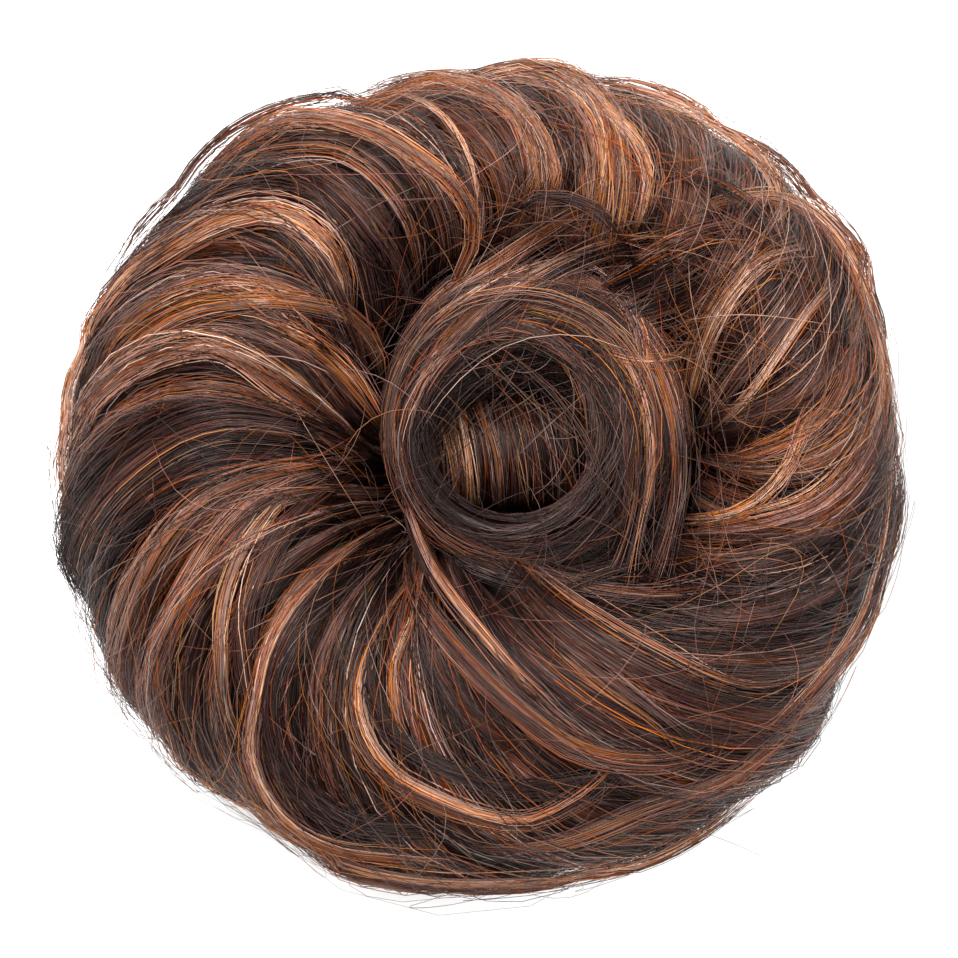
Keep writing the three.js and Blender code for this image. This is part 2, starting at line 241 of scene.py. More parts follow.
def strandTubes(paths, tone, rng, cellBox=strandMap, thickness=None):
    # Closed three-sided tubes along paths (strands, steps, 3). A section's corners stand at equal
    # angles round the path, and its size falls off to both ends as a power of a sine.
    count, steps, _ = paths.shape
    sides, margin = strand["sides"], strand["uvMargin"]
    ids = rng.random(count)
    thick = (thickness or strand["thickness"]) * rng.uniform(0.7, 1.25, count)
    tangent = unit(np.gradient(paths, axis=1))
    heart = np.array([middleX, middleY, bun["height"] * bun["heartHeight"]])
    side = unit(np.cross(tangent, paths - heart))
    out = np.cross(side, tangent)
    t = np.linspace(0, 1, steps)
    swell = strand["tip"] + (1 - strand["tip"]) * np.sin(np.pi * np.clip(t, 0.02, 0.98)) ** 0.4
    radius = thick[:, None] / 2 * swell[None, :]
    turn = ids[:, None, None] * 7.0 + np.arange(sides) * 2 * np.pi / sides
    outward = np.cos(turn)[..., None] * out[:, :, None, :]
    sideward = np.sin(turn)[..., None] * side[:, :, None, :]
    points = paths[:, :, None, :] + (outward + sideward) * radius[:, :, None, None]
    index = np.arange(count * steps * sides).reshape(count, steps, sides)
    following = np.roll(index, -1, axis=2)
    quads = np.stack([index[:, :-1], following[:, :-1], following[:, 1:], index[:, 1:]], -1)
    tris = np.stack([index[:, 0, ::-1], index[:, -1, :]], 1)

    # every strand has a cell of the map of its own, with its two ends at the cell's two ends
    columns = max(1, math.ceil(math.sqrt(count)))
    x0, y0, x1, y1 = cellBox
    cellW, cellH = (x1 - x0) / columns, (y1 - y0) / math.ceil(count / columns)
    wide, tall = cellW * (1 - 2 * margin), cellH * (1 - 2 * margin)
    left = x0 + cellW * (np.arange(count) % columns + margin)
    low = y0 + cellH * (np.arange(count) // columns + margin)
    u = left[:, None, None] + wide * (np.arange(sides + 1) / sides)[None, None, :]
    v = low[:, None, None] + tall * (0.08 + 0.84 * t)[None, :, None]
    uv = np.stack(np.broadcast_arrays(u, v), -1)
    quadUv = np.stack([uv[:, :-1, :-1], uv[:, :-1, 1:], uv[:, 1:, 1:], uv[:, 1:, :-1]], -2)
    cap = np.array([[0, 0], [wide / 2, 0], [0, tall * 0.06]])
    lowCap = np.stack([left, low], -1)[:, None, :] + cap
    triUv = np.stack([lowCap, lowCap + np.array([0, tall * 0.94])], 1)

    tone = tone.reshape(count, -1) + patchToneAndShade(paths)
    allTone = np.broadcast_to(tone[:, :, None], (count, steps, sides))
    hue = 0.5 + rng.normal(0, strand["hueSpread"], (count, 1, 1)) * np.ones((1, 1, sides))
    place = np.stack(np.broadcast_arrays(ids[:, None, None], t[None, :, None], hue), -1)
    return (
        points.reshape(-1, 3),
        quads.reshape(-1, 4),
        tris.reshape(-1, 3),
        allTone.reshape(-1),
        place.reshape(-1, 3),
        quadUv.reshape(-1, 4, 2),
        triUv.reshape(-1, 3, 2),
    )


def packedHair(points, tone, cellBox=bodyMap, ringU=False, hairAlongV=False):
    # A grid (u, v) of points that joins up round v as one closed surface. It joins up round u
    # too where ringU says so; otherwise each end is a fan from its own middle. Its hair runs
    # along u or v, and the streaks' number goes up and back down across it, so that they join.
    rowsU, rowsV, _ = points.shape
    tone = tone + patchToneAndShade(points)
    index = np.arange(rowsU * rowsV).reshape(rowsU, rowsV)
    ring = np.concatenate([index, index[:1]], 0) if ringU else index
    ring = np.concatenate([ring, ring[:, :1]], 1)
    quads = np.stack([ring[:-1, :-1], ring[1:, :-1], ring[1:, 1:], ring[:-1, 1:]], -1)
    cellsU, cellsV = quads.shape[:2]
    x0, y0, x1, y1 = cellBox
    gap = 0.06 * (y1 - y0)
    u = np.linspace(x0, x1, cellsU + 1)[:, None]
    v = np.linspace(y0 + gap, y1 - gap, cellsV + 1)[None, :]
    uv = np.stack(np.broadcast_arrays(u, v), -1)
    quadUv = np.stack([uv[:-1, :-1], uv[1:, :-1], uv[1:, 1:], uv[:-1, 1:]], -2)
    rowU, rowV = np.arange(rowsU)[:, None], np.arange(rowsV)[None, :]
    upAndBackU, upAndBackV = np.minimum(rowU, rowsU - rowU), np.minimum(rowV, rowsV - rowV)
    comb, run = (upAndBackU, upAndBackV / rowsV) if hairAlongV else (upAndBackV, rowU / rowsU)
    place = np.stack(np.broadcast_arrays(comb * combPitch, run, 0.5), -1)
    points, tone, place = points.reshape(-1, 3), tone.reshape(-1), place.reshape(-1, 3)
    quads, quadUv = quads.reshape(-1, 4), quadUv.reshape(-1, 4, 2)
    tris, triUv = np.zeros((0, 3), int), np.zeros((0, 3, 2))
    if not ringU:
        k = np.arange(rowsV)
        width = (x1 - x0) / rowsV
        for end, base in ((0, y0), (rowsU - 1, y1 - gap * 0.9)):
            rim = index[end]
            hub = np.full(rowsV, len(points))
            points = np.vstack([points, points[rim].mean(0)])
            tone = np.append(tone, tone[rim].mean())
            place = np.vstack([place, place[rim].mean(0)])
            onward = np.roll(rim, -1)
            pair = (rim, onward) if end == 0 else (onward, rim)
            tris = np.vstack([tris, np.stack([hub, pair[0], pair[1]], -1)])
            low, high = np.full(rowsV, base), np.full(rowsV, base + gap * 0.8)
            foot = np.stack([x0 + width * k, low], -1)
            corner = np.stack([x0 + width * (k + 0.9), low], -1)
            top = np.stack([x0 + width * k, high], -1)
            triUv = np.vstack([triUv, np.stack([foot, corner, top], 1)])
    halves = np.concatenate([quads[:, :3], quads[:, [0, 2, 3]], tris])
    a, b, c = points[halves[:, 0]], points[halves[:, 1]], points[halves[:, 2]]
    if np.einsum("ij,ij->i", a, np.cross(b, c)).sum() < 0:  # it faces inwards
        quads, tris = quads[:, ::-1], tris[:, ::-1]
        quadUv, triUv = quadUv[:, ::-1], triUv[:, ::-1]
    return points, quads, tris, tone, place, quadUv, triUv


def joined(parts):
    # Several parts as one, with the point numbers moved on.
    starts = np.cumsum([0] + [len(part[0]) for part in parts[:-1]])
    moved = [(p[0], p[1] + s, p[2] + s, *p[3:]) for p, s in zip(parts, starts)]
    return [np.concatenate(column) for column in zip(*moved)]


made = {"triangles": 0}


def addPiece(name, parts, material, slot, *nodes):
    points, quads, tris, tone, place, quadUv, triUv = joined(parts)
    mesh = bpy.data.meshes.new(name)
    mesh.vertices.add(len(points))
    mesh.vertices.foreach_set("co", (points * mm).astype(np.float32).ravel())
    corners = np.concatenate([quads.ravel(), tris.ravel()]).astype(np.int32)
    quadStarts = np.arange(len(quads)) * 4
    triStarts = len(quads) * 4 + np.arange(len(tris)) * 3
    starts = np.concatenate([quadStarts, triStarts]).astype(np.int32)
    mesh.loops.add(len(corners))
    mesh.loops.foreach_set("vertex_index", corners)
    mesh.polygons.add(len(starts))
    mesh.polygons.foreach_set("loop_start", starts)
    mesh.polygons.foreach_set("use_smooth", np.ones(len(starts), bool))
    mesh.update(calc_edges=True)
    uvs = np.concatenate([quadUv.reshape(-1, 2), triUv.reshape(-1, 2)]).astype(np.float32)
    mesh.uv_layers.new(name="OFBake").data.foreach_set("uv", uvs.ravel())
    toneData = mesh.attributes.new("tone", "FLOAT", "POINT").data
    toneData.foreach_set("value", tone.astype(np.float32))
    placeData = mesh.attributes.new("place", "FLOAT_VECTOR", "POINT").data
    placeData.foreach_set("vector", place.astype(np.float32).ravel())
    piece = bpy.data.objects.new(name, mesh)
    bpy.context.scene.collection.objects.link(piece)
    mesh.materials.append(material)
    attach(piece, "root")
    if nodes:
        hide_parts(*nodes)
    made["triangles"] += len(quads) * 2 + len(tris)
    return piece


# Materials


def linear(r, g, b):
    # A colour as seen on a screen, 0 to 255, as Blender's linear values.
    c = np.array([r, g, b]) / 255
    return tuple(np.where(c <= 0.04045, c / 12.92, ((c + 0.055) / 1.055) ** 2.4)) + (1.0,)


def addNode(nodes, kind, settings={}, values={}):
    # settings are the node's own, and values those of its inputs, by name or by number.
    node = nodes.new("ShaderNode" + kind)
    for key, value in settings.items():
        setattr(node, key, value)
    for key, value in values.items():
        node.inputs[key].default_value = value
    return node


hairFinish = {
    "colours": [  # place on the tone scale, then the colour
        (0.0, (15, 4, 3)),
        (0.18, (45, 25, 22)),
        (0.4, (80, 52, 44)),
        (0.6, (121, 75, 55)),
        (0.8, (160, 108, 80)),
        (1.0, (196, 158, 132)),
    ],
    "saturation": 0.58,  # of the greyest strands
    "saturationSpread": 0.8,  # how much more the liveliest strands have
    "streaks": 0.16,  # quick change of tone along a strand
    "streakScale": (37.0, 5.0, 0.0),  # from strand to strand and along one
    "roughness": 0.4,
    "specular": 0.3,
    "specularTint": (1.0, 0.86, 0.8, 1.0),
}


def hairMaterial(name):
    material = bpy.data.materials.new(name)
    material.use_nodes = True
    nodes, links = material.node_tree.nodes, material.node_tree.links
    shader = nodes["Principled BSDF"]
    tone = addNode(nodes, "Attribute", {"attribute_name": "tone"})
    place = addNode(nodes, "Attribute", {"attribute_name": "place"})
    # along a strand the tone wanders: place holds the strand's number, the place along it and
    # the strand's hue
    scale = {1: hairFinish["streakScale"]}
    stretch = addNode(nodes, "VectorMath", {"operation": "MULTIPLY"}, scale)
    links.new(place.outputs["Vector"], stretch.inputs[0])
    detail = {"Scale": 1.0, "Detail": 1.0}
    streaks = addNode(nodes, "TexNoise", {"noise_dimensions": "2D"}, detail)
    links.new(stretch.outputs["Vector"], streaks.inputs["Vector"])
    upAndDown = {1: hairFinish["streaks"] * 2, 2: -hairFinish["streaks"]}
    wander = addNode(nodes, "Math", {"operation": "MULTIPLY_ADD"}, upAndDown)
    links.new(streaks.outputs["Fac"], wander.inputs[0])
    level = addNode(nodes, "Math", {"operation": "ADD"})
    links.new(wander.outputs["Value"], level.inputs[0])
    links.new(tone.outputs["Fac"], level.inputs[1])
    ramp = addNode(nodes, "ValToRGB")
    marks = ramp.color_ramp.elements
    for i, (position, colour) in enumerate(hairFinish["colours"]):
        mark = marks[i] if i < 2 else marks.new(position)
        mark.position = position
        mark.color = linear(*colour)
    links.new(level.outputs["Value"], ramp.inputs["Fac"])
    split = addNode(nodes, "SeparateXYZ")
    links.new(place.outputs["Vector"], split.inputs["Vector"])
    hue = addNode(nodes, "HueSaturation")
    liveliness = {1: hairFinish["saturationSpread"], 2: hairFinish["saturation"]}
    saturation = addNode(nodes, "Math", {"operation": "MULTIPLY_ADD"}, liveliness)
    links.new(split.outputs["X"], saturation.inputs[0])
    links.new(saturation.outputs["Value"], hue.inputs["Saturation"])
    links.new(split.outputs["Z"], hue.inputs["Hue"])
    links.new(ramp.outputs["Color"], hue.inputs["Color"])
    links.new(hue.outputs["Color"], shader.inputs["Base Color"])
    shader.inputs["Roughness"].default_value = hairFinish["roughness"]
    shader.inputs["Specular IOR Level"].default_value = hairFinish["specular"]
    shader.inputs["Specular Tint"].default_value = hairFinish["specularTint"]
    return material


hair = hairMaterial("falseHair")
toneScale = {"d": 0.14, "b": 0.36, "c": 0.6, "g": 0.82}


def tonesAcross(tones, across):
    marks = np.array([toneScale[c] for c in tones])
    return marks[np.clip((across * len(marks)).astype(int), 0, len(marks) - 1)]


def mixedTones(tones, across, rng, spread=0.09, odd=0.12):
    # Each strand takes its wisp's tone, a little off; an odd one takes any tone.
    count = len(across)
    tone = tonesAcross(tones, across) + rng.normal(0, spread, count)
    stranger = rng.choice(list(toneScale.values()), count) + rng.normal(0, 0.06, count)
    return np.where(rng.random(count) < odd, stranger, tone)


# The curled locks
lockHair = {
    "strands": 240,
    "steps": 13,
    "rows": (36, 34, 6),  # of packed hair: along it, across its upper side and its underside
    "bodyHeight": 0.84,  # as a share of the lock's
    "bodyShade": 0.2,
    "comb": 0.2,  # depth of the furrows between two rows of packed hair
    "starts": (-0.075, 0.03),  # of the strands along the lock's line
    "ends": (0.93, 1.01),
    "inside": 0.9,  # how deep the strands lie under the lock's surface
    "wispWidth": 0.085,  # half a wisp, as a share of the lock
    "wispLift": 0.5,  # how far one wisp stands over another
    "stray": 0.1,  # share of strands that stray
    "strayLift": 1.5,
    "strayAcross": 0.35,
    "valleyShade": 0.3,  # how much darker the hair is down between two locks
    "rootShade": 0.2,
}


def lockBody(i, lock):
    # A closed bolster: its upper side is the lock's crown, lowered and combed, with every other
    # row sunk and slow sines across it, and its underside follows the hair below.
    rowsAlong, rowsAcross, rowsUnder = lockHair["rows"]
    along = np.linspace(0.0, 1.0, rowsAlong)[:, None]
    across = np.linspace(0.04, 0.96, rowsAcross)[None, :]
    depth = -hairDepth(along)
    top = depth + (lockLift(lock, across, along) - depth) * lockHair["bodyHeight"]
    ridge = 0.3 * np.sin(across * 31 + 3 * i + along * 2)
    ridge = ridge + lockHair["comb"] * (np.arange(rowsAcross) % 2 - 0.5)
    upper = hairPoint(i + across, along, top + ridge * np.sin(np.pi * along) ** 0.5)
    back = np.linspace(0.96, 0.04, rowsUnder)[None, :]
    lower = hairPoint(i + back, along, depth + 0.3)
    tone = tonesAcross(lock["tones"], np.concatenate([across, back], 1)) - lockHair["bodyShade"]
    points = np.concatenate([upper, lower], 1)
    return packedHair(points, np.broadcast_to(tone, points.shape[:2]))


def lockStrands(i, lock, rng):
    # Strands keep their place across the lock, drift with their wisp and lie on its crown.
    count, steps = lockHair["strands"], lockHair["steps"]
    wisps = len(lock["tones"])
    wisp = rng.integers(0, wisps, count)
    centre = (wisp + 0.5) / wisps + rng.normal(0, 0.01, count)
    start = rng.uniform(*lockHair["starts"], (count, 1))
    end = rng.uniform(*lockHair["ends"], (count, 1))
    along = start + (end - start) * np.linspace(0, 1, steps)
    shown = np.clip(along, 0, 1)
    bow = np.sin(np.pi * shown)
    drift = rng.normal(0, 0.05, wisps)[wisp][:, None] * (along - 0.4)
    spread = rng.normal(0, lockHair["wispWidth"], (count, 1)) * (0.75 + 0.5 * bow)
    wave = np.sin(along * rng.uniform(5, 14, (count, 1)) + rng.uniform(0, 6, (count, 1)))
    across = centre[:, None] + drift + spread + rng.normal(0, 0.012, (count, 1)) * wave
    stray = (rng.random(count) < lockHair["stray"])[:, None]
    across += stray * rng.normal(0, lockHair["strayAcross"], (count, 1)) * shown**1.5
    inside = np.abs(rng.normal(0, lockHair["inside"], (count, 1))) * (1 - stray)
    lift = lockLift(lock, across, along) - inside
    lift += rng.normal(0, lockHair["wispLift"], wisps)[wisp][:, None] * bow
    lift += stray * np.abs(rng.normal(0, lockHair["strayLift"], (count, 1))) * np.abs(bow) ** 1.5
    lift += rng.normal(0, 0.12, (count, 1)) * np.sin(along * 17 + rng.uniform(0, 6, (count, 1)))
    paths = aboveFloor(hairPoint(i + across, along, lift))
    tone = mixedTones(lock["tones"], centre, rng)[:, None]
    # Painted shade: strands are darker down in the valleys between locks, the deeper they lie
    # inside the lock, and near the roots.
    tone = tone - lockHair["valleyShade"] * (1 - crownRise(across)) - 0.06 * inside
    tone = tone - lockHair["rootShade"] * np.exp(-((shown / 0.18) ** 2))
    return strandTubes(paths, tone, rng)


for i, lock in enumerate(locks):
    rng = np.random.default_rng(100 + i)
    name = lock["name"]
    parts = [lockBody(i, lock), lockStrands(i, lock, rng)]
    addPiece(name + "_hair", parts, hair, slotByNode[name], name)
print("locks made:", made["triangles"], "triangles so far")


# The hair wound round the eye, the arch beside it and the short lock inside it
eye = {
    "ringRadius": 17.7,
    "ringWidth": 5.4,
    "ringLow": 33.5,
    "ringHeight": 10.0,
    "ringStrands": 480,
    "ringClumps": 44,
    "ringLoose": 1.3,  # how far a clump's circle is off the middle
    "innerArcs": 190,  # dark arcs down the far wall of the eye
    "arcRadius": 15.8,
    "arcTop": 35.0,
    "arcReach": 8.0,  # how far the lowest arcs dip to the middle of the eye, and down
    "arcDip": 10.0,
    "ringTones": "dbdbdbbdbdcb",
    "ringInner": 14.6,  # no strand of the ring comes nearer to the middle
    "lockLow": 11.5,
    "lockHigh": 25.0,
    "lockHalfWidth": 16.2,
    "lockFront": -14.2,
    "lockBack": 9.5,
    "lockStrands": 330,
    "lockBend": 4.4,  # how far its strands' far ends bend to the left
    "lockTones": "bdcbgdcbbdbdbbdb",
}


def ringBody():
    # A torus with an oval section; it is combed, with every other row sunk, and slow sines
    # climb round it like the strands.
    turn = np.linspace(0, 2 * np.pi, 96, endpoint=False)[:, None]
    section = np.linspace(0, 2 * np.pi, 28, endpoint=False)[None, :]
    swell = 0.8 + 0.05 * np.sin(section * 3 + turn * 3) + 0.07 * (np.arange(28) % 2 - 0.5)
    radius = eye["ringRadius"] + eye["ringWidth"] / 2 * swell * np.cos(section)
    z = eye["ringLow"] + eye["ringHeight"] / 2 * (1 + swell * np.sin(section))
    points = eyePoint(np.degrees(turn), radius, z)
    # Painted shade: the packed hair takes a low tone, darker than the strands over it.
    return packedHair(points, np.full(points.shape[:2], 0.08), ringU=True)


def ringStrands(rng):
    # Arcs round the eye on the torus, in clumps that share a start, a length, a slow roll round
    # the section, a middle a little off the eye's and a way of leaving the ring at the ends.
    count, steps, clumps = eye["ringStrands"], 17, eye["ringClumps"]
    clump = rng.integers(0, clumps, count)

    def ofClump(values, spread):
        return values[clump][:, None] + rng.normal(0, spread, (count, 1))

    t = np.linspace(0, 1, steps)[None, :]
    first = ofClump(rng.uniform(0, 360, clumps), 16)
    span = ofClump(rng.uniform(90, 230, clumps), 22)
    roll = ofClump(rng.normal(0, 80, clumps), 22) * (t - 0.5)
    section = np.radians(ofClump(rng.uniform(-10, 190, clumps), 15) + roll)
    swell = 0.88 + np.abs(rng.normal(0, 0.15, (count, 1)))
    drift = ofClump(rng.normal(0.9, 1.8, clumps), 0.7) * (2 * t - 1) ** 2
    radius = eye["ringRadius"] + eye["ringWidth"] / 2 * swell * np.cos(section) + drift
    z = eye["ringLow"] + eye["ringHeight"] / 2 * (1 + swell * np.sin(section))
    z += rng.normal(0, 0.5, (count, 1)) * np.sin(t * 5 + first)
    paths = eyePoint(first - span * t, radius, z)
    paths[..., 0] += ofClump(rng.normal(0, eye["ringLoose"], clumps), 0.4)
    paths[..., 1] += ofClump(rng.normal(0, eye["ringLoose"], clumps), 0.4)
    x, y = paths[..., 0] - eyeX, paths[..., 1] - eyeY
    inner = eye["ringInner"] + np.abs(rng.normal(0, 0.6, (count, 1)))
    push = np.maximum(inner / np.hypot(x, y), 1)
    paths[..., 0], paths[..., 1] = eyeX + x * push, eyeY + y * push
    tone = mixedTones(eye["ringTones"], (clump + 0.5) / clumps, rng, 0.08, 0.07)[:, None]
    tone = tone - 0.05 - 0.12 * np.maximum(-np.cos(section), 0)  # painted shade: darker down the inner side, towards the eye
    return strandTubes(paths, tone, rng, (0.0, 0.2, 1.0, 0.85))


def innerArcs(rng):
    # Arcs inside the upper half of the eye that dip towards its middle, lower as they dip more.
    count, steps = eye["innerArcs"], 12
    t = np.linspace(0, 1, steps)[None, :]
    inset = rng.uniform(0, 1, (count, 1))
    dip = np.sin(np.pi * t) ** 0.8
    radius = eye["arcRadius"] - eye["arcReach"] * inset * dip
    radius = radius + rng.normal(0, 0.5, (count, 1)) * np.sin(4 * t)
    z = eye["arcTop"] - 5 * inset - eye["arcDip"] * inset * dip + rng.normal(0, 0.6, (count, 1))
    degrees = rng.uniform(165, 205, (count, 1)) - rng.uniform(130, 200, (count, 1)) * t
    tone = rng.choice([0.0, 0.05, 0.12, 0.26], count) + rng.normal(0, 0.05, count)
    return strandTubes(eyePoint(degrees, radius, z), tone, rng, (0.0, 0.0, 1.0, 0.19))


rng = np.random.default_rng(7)
ringParts = [ringBody(), ringStrands(rng), innerArcs(rng)]
addPiece("centre_coil_hair", ringParts, hair, slotByNode["centre_coil"], "centre_coil")


def eyeLockTop(x, y):
    # A dome that falls off towards its sides and its two ends. Millimetres from the eye's middle.
    middle = (eye["lockFront"] + eye["lockBack"]) / 2
    half = (eye["lockBack"] - eye["lockFront"]) / 2
    fall = 0.45 * (x / eye["lockHalfWidth"]) ** 2 + 0.75 * np.abs((y - middle) / half) ** 2.6
    return eye["lockHigh"] - (eye["lockHigh"] - eye["lockLow"]) * np.clip(fall, 0, 1)


def eyeLockEnds(x):
    # Where the lock meets the round wall of the throat, or its own front and back.
    reach = np.sqrt(np.maximum(eye["lockHalfWidth"] ** 2 - x**2, 1.0))
    return np.maximum(-reach, eye["lockFront"]), np.minimum(reach, eye["lockBack"])


def eyeLockBody():
    # A cushion between its two ends, flat underneath and domed above.
    x = np.linspace(-1, 1, 30)[:, None] * eye["lockHalfWidth"] * 0.97
    turn = np.linspace(0, 2 * np.pi, 28, endpoint=False)[None, :]
    front, back = eyeLockEnds(x)
    y = (front + back) / 2 + (back - front) / 2 * np.cos(turn)
    low = eye["lockLow"] + 1.0
    top = np.maximum(eyeLockTop(x, y) - 1.2, low + 0.5)
    rise = np.maximum(np.sin(turn), 0) ** 0.5
    z = low + (top - low) * rise - 0.8 * np.maximum(-np.sin(turn), 0)
    points = np.stack([eyeX + x * np.ones_like(y), eyeY + y, z], -1)
    # Painted shade: the packed hair takes a low tone, darker than the strands over it.
    return packedHair(points, np.full(points.shape[:2], 0.1), hairAlongV=True)


def eyeLockStrands(rng):
    # Short strands side by side that bend to the left at their far ends.
    count, steps = eye["lockStrands"], 10
    t = np.linspace(0, 1, steps)[None, :]
    share = rng.random((count, 1))
    x0 = (2 * share - 1) * eye["lockHalfWidth"] * 0.95
    front, back = eyeLockEnds(x0)
    front, back = front - rng.uniform(0, 0.8, (count, 1)), back - rng.uniform(0, 3.5, (count, 1))
    y = front + (back - front) * t
    x = x0 - eye["lockBend"] * t**2.2 + rng.normal(0, 0.7, (count, 1)) * np.sin(3 * t + share * 9)
    x += 1.6 * np.sin(share * 40) * t * (1 - t)
    z = eyeLockTop(x, y) - np.abs(rng.normal(0, 0.5, (count, 1))) + 0.2
    tone = mixedTones(eye["lockTones"], share[:, 0], rng, 0.1, 0.2)[:, None]
    # Painted shade: the strands are darker towards both ends, where the lock's dome falls away.
    tone = tone + 0.15 - 0.1 * (2 * t - 1) ** 4 - 0.14 * share  # darker to the right
    return strandTubes(np.stack([eyeX + x, eyeY + y, z], -1), tone, rng)


rng = np.random.default_rng(8)
eyeParts = [eyeLockBody(), eyeLockStrands(rng)]
addPiece("eye_lock_hair", eyeParts, hair, slotByNode["eye_lock"], "eye_lock")

arch = {
    "inner": 20.9,
    "low": 33.5,
    "height": 12.5,
    "first": 222.0,
    "last": -44.0,
    "strands": 240,
    "tones": "bcbdcbcb",
    "shadedTo": 0.35,  # its left part is darker
}


def rootRingRadius(degrees):
    # The radius of the ring of roots at an angle round the eye, from the locks' root angles.
    rootDegs = [lock["rootDeg"] for lock in locks]
    degrees = np.mod(degrees - rootDegs[0], 360) + rootDegs[0]
    shares = [lock["root"] for lock in locks]
    around, shares = rootDegs + [rootDegs[0] + 360], shares + [shares[0]]
    return bun["rootRadius"] * smoothCurve(degrees, around, shares)


def archPoint(share, section, swell):
    # A half-oval section between the coil and the roots, carried round the eye; it shrinks to
    # both ends as a power of a sine.
    degrees = arch["first"] + (arch["last"] - arch["first"]) * share
    outer = rootRingRadius(degrees) - 0.3
    taper = 0.3 + 0.7 * np.sin(np.pi * np.clip(share, 0, 1)) ** 0.5
    half = (outer - arch["inner"]) / 2
    radius = arch["inner"] + half + half * swell * taper * np.cos(section)
    z = arch["low"] + arch["height"] * taper * swell * np.maximum(np.sin(section), 0) ** 0.8
    return eyePoint(degrees, radius, z)


def archBody():
    share = np.linspace(0, 1, 48)[:, None]
    section = np.linspace(0, 2 * np.pi, 18, endpoint=False)[None, :]
    points = archPoint(share, section, 0.84 + 0.05 * (np.arange(18) % 2))
    # Painted shade: the packed hair takes a low tone, darker than the strands over it.
    return packedHair(points, np.full(points.shape[:2], 0.16))


def archStrands(rng):
    count, steps = arch["strands"], 16
    t = np.linspace(0, 1, steps)[None, :]
    start = rng.uniform(-0.02, 0.45, (count, 1))
    share = np.clip(start + (rng.uniform(0.75, 1.02, (count, 1)) - start) * t, 0, 1)
    place = rng.random((count, 1))
    section = np.radians(15 + 150 * place + rng.normal(0, 22, (count, 1)) * (t - 0.5))
    swell = 0.96 + np.abs(rng.normal(0, 0.09, (count, 1)))
    tone = mixedTones(arch["tones"], place[:, 0], rng)[:, None]
    tone = np.where(share < arch["shadedTo"], tone * 0.6 + 0.08, tone)
    return strandTubes(archPoint(share, section, swell), tone, rng)


rng = np.random.default_rng(9)
archParts = [archBody(), archStrands(rng)]
addPiece("arch_lock_hair", archParts, hair, slotByNode["arch_lock"], "arch_lock")
print("eye made:", made["triangles"], "triangles so far")

# The hair that the locks lie on, round the elastic
base = {
    "throat": 16.6,
    "seatRadius": 23.6,
    "seatTop": 7.4,
    "foot": 0.4,
    "shelf": 32.9,
    "columns": 184,  # round the bun
    "underStrands": 620,
    "underTones": "dbcdbdcbdbcd",
    "throatStrands": 190,
    "swirl": 14.0,  # how far the hair underneath turns on its way in to the seat
}


def baseBody():
    # A profile in steps from the throat over the shelf, under the locks and along the floor to
    # the elastic's seat, carried round the lanes of hair.
    lane = np.linspace(0, laneCount, base["columns"], endpoint=False)[:, None]
    turn = np.degrees(lineAngle(lane, 0.0))
    throatZ = np.linspace(base["seatTop"], base["shelf"], 6)[None, :]
    throat = eyePoint(turn, base["throat"] + 0.25 * np.sin(lane * 19), throatZ)
    rootRadius = bun["rootRadius"] * laneValue("root", lane)
    shelfShare = np.linspace(0.25, 0.9, 3)[None, :]
    shelfRadius = base["throat"] + (rootRadius - base["throat"]) * shelfShare
    furrows = np.arange(base["columns"])[:, None] % 2 - 0.5
    shelf = eyePoint(turn, shelfRadius, base["shelf"] - 0.2 + 0.4 * furrows)
    along = np.linspace(0.04, 0.97, 22)[None, :]
    comb = 0.4 * furrows * np.ones_like(along)
    outer = hairPoint(lane, along, -hairDepth(along) - 0.5 + comb)
    inward = np.linspace(0.08, 1, 12)[None, :]
    seat = eyePoint(turn + base["swirl"], base["seatRadius"], base["foot"])
    under = outer[:, -1:] * (1 - inward[..., None]) + seat * inward[..., None]
    furrow = 0.5 * np.abs(np.sin(lane * 31 + inward * 4)) * np.sin(np.pi * inward)
    under[..., 2] = base["foot"] + furrow
    seatWall = eyePoint(turn + base["swirl"] / 2, base["seatRadius"], np.array([[3.5, 7.0]]))
    seatTop = eyePoint(turn + base["swirl"] / 4, np.array([[22.0, 18.5]]), base["seatTop"])
    points = np.concatenate([throat, shelf, outer, under, seatWall, seatTop], 1)
    # Painted shade: the packed hair takes a low tone, darker than the hair over it.
    tone = 0.16 + 0.1 * np.sin(lane * 11) * np.ones(points.shape[:2])
    return packedHair(points, tone, ringU=True, hairAlongV=True)


def underStrands(rng):
    # Under the bun, from the tails of the locks in to the elastic's seat, in flat curves.
    count, steps = base["underStrands"], 9
    t = np.linspace(0, 1, steps)[None, :]
    lane = rng.uniform(0, laneCount, (count, 1))
    tail = hairPoint(lane, np.full((count, 1), 0.985), -2.0)
    turn = np.degrees(lineAngle(lane, 0.0)) + base["swirl"]
    seat = eyePoint(turn, base["seatRadius"] + 0.6, base["foot"])
    span = rng.uniform(0.55, 1.0, (count, 1, 1))
    share = rng.uniform(0, 1, (count, 1, 1)) * (1 - span) + span * t[..., None]
    paths = tail * (1 - share) + seat * share
    sway = rng.normal(0, 1.2, (count, 1)) * np.sin(np.pi * t)
    paths[..., 0] += sway
    paths[..., 1] -= sway
    paths[..., 2] = 0.3 + np.abs(rng.normal(0, 0.15, (count, 1)))
    tone = mixedTones(base["underTones"], (lane[:, 0] * 1.7) % 1, rng)
    return strandTubes(paths, tone, rng, (0.0, 0.22, 1.0, 0.85))


def throatStrands(rng):
    # Up the wall of the throat, leaning as they climb.
    count, steps = base["throatStrands"], 8
    t = np.linspace(0, 1, steps)[None, :]
    degrees = rng.uniform(0, 360, (count, 1)) + rng.normal(25, 15, (count, 1)) * t
    radius = base["throat"] - 0.2 - 0.7 * rng.random((count, 1)) * np.sin(np.pi * t)
    tone = rng.normal(0.14, 0.1, count)
    return strandTubes(eyePoint(degrees, radius, 8 + 25 * t), tone, rng, (0.0, 0.0, 1.0, 0.21))


rng = np.random.default_rng(10)
baseParts = [baseBody(), underStrands(rng), throatStrands(rng)]
addPiece("hair_base_hair", baseParts, hair, slotByNode["hair_base"], "hair_base")

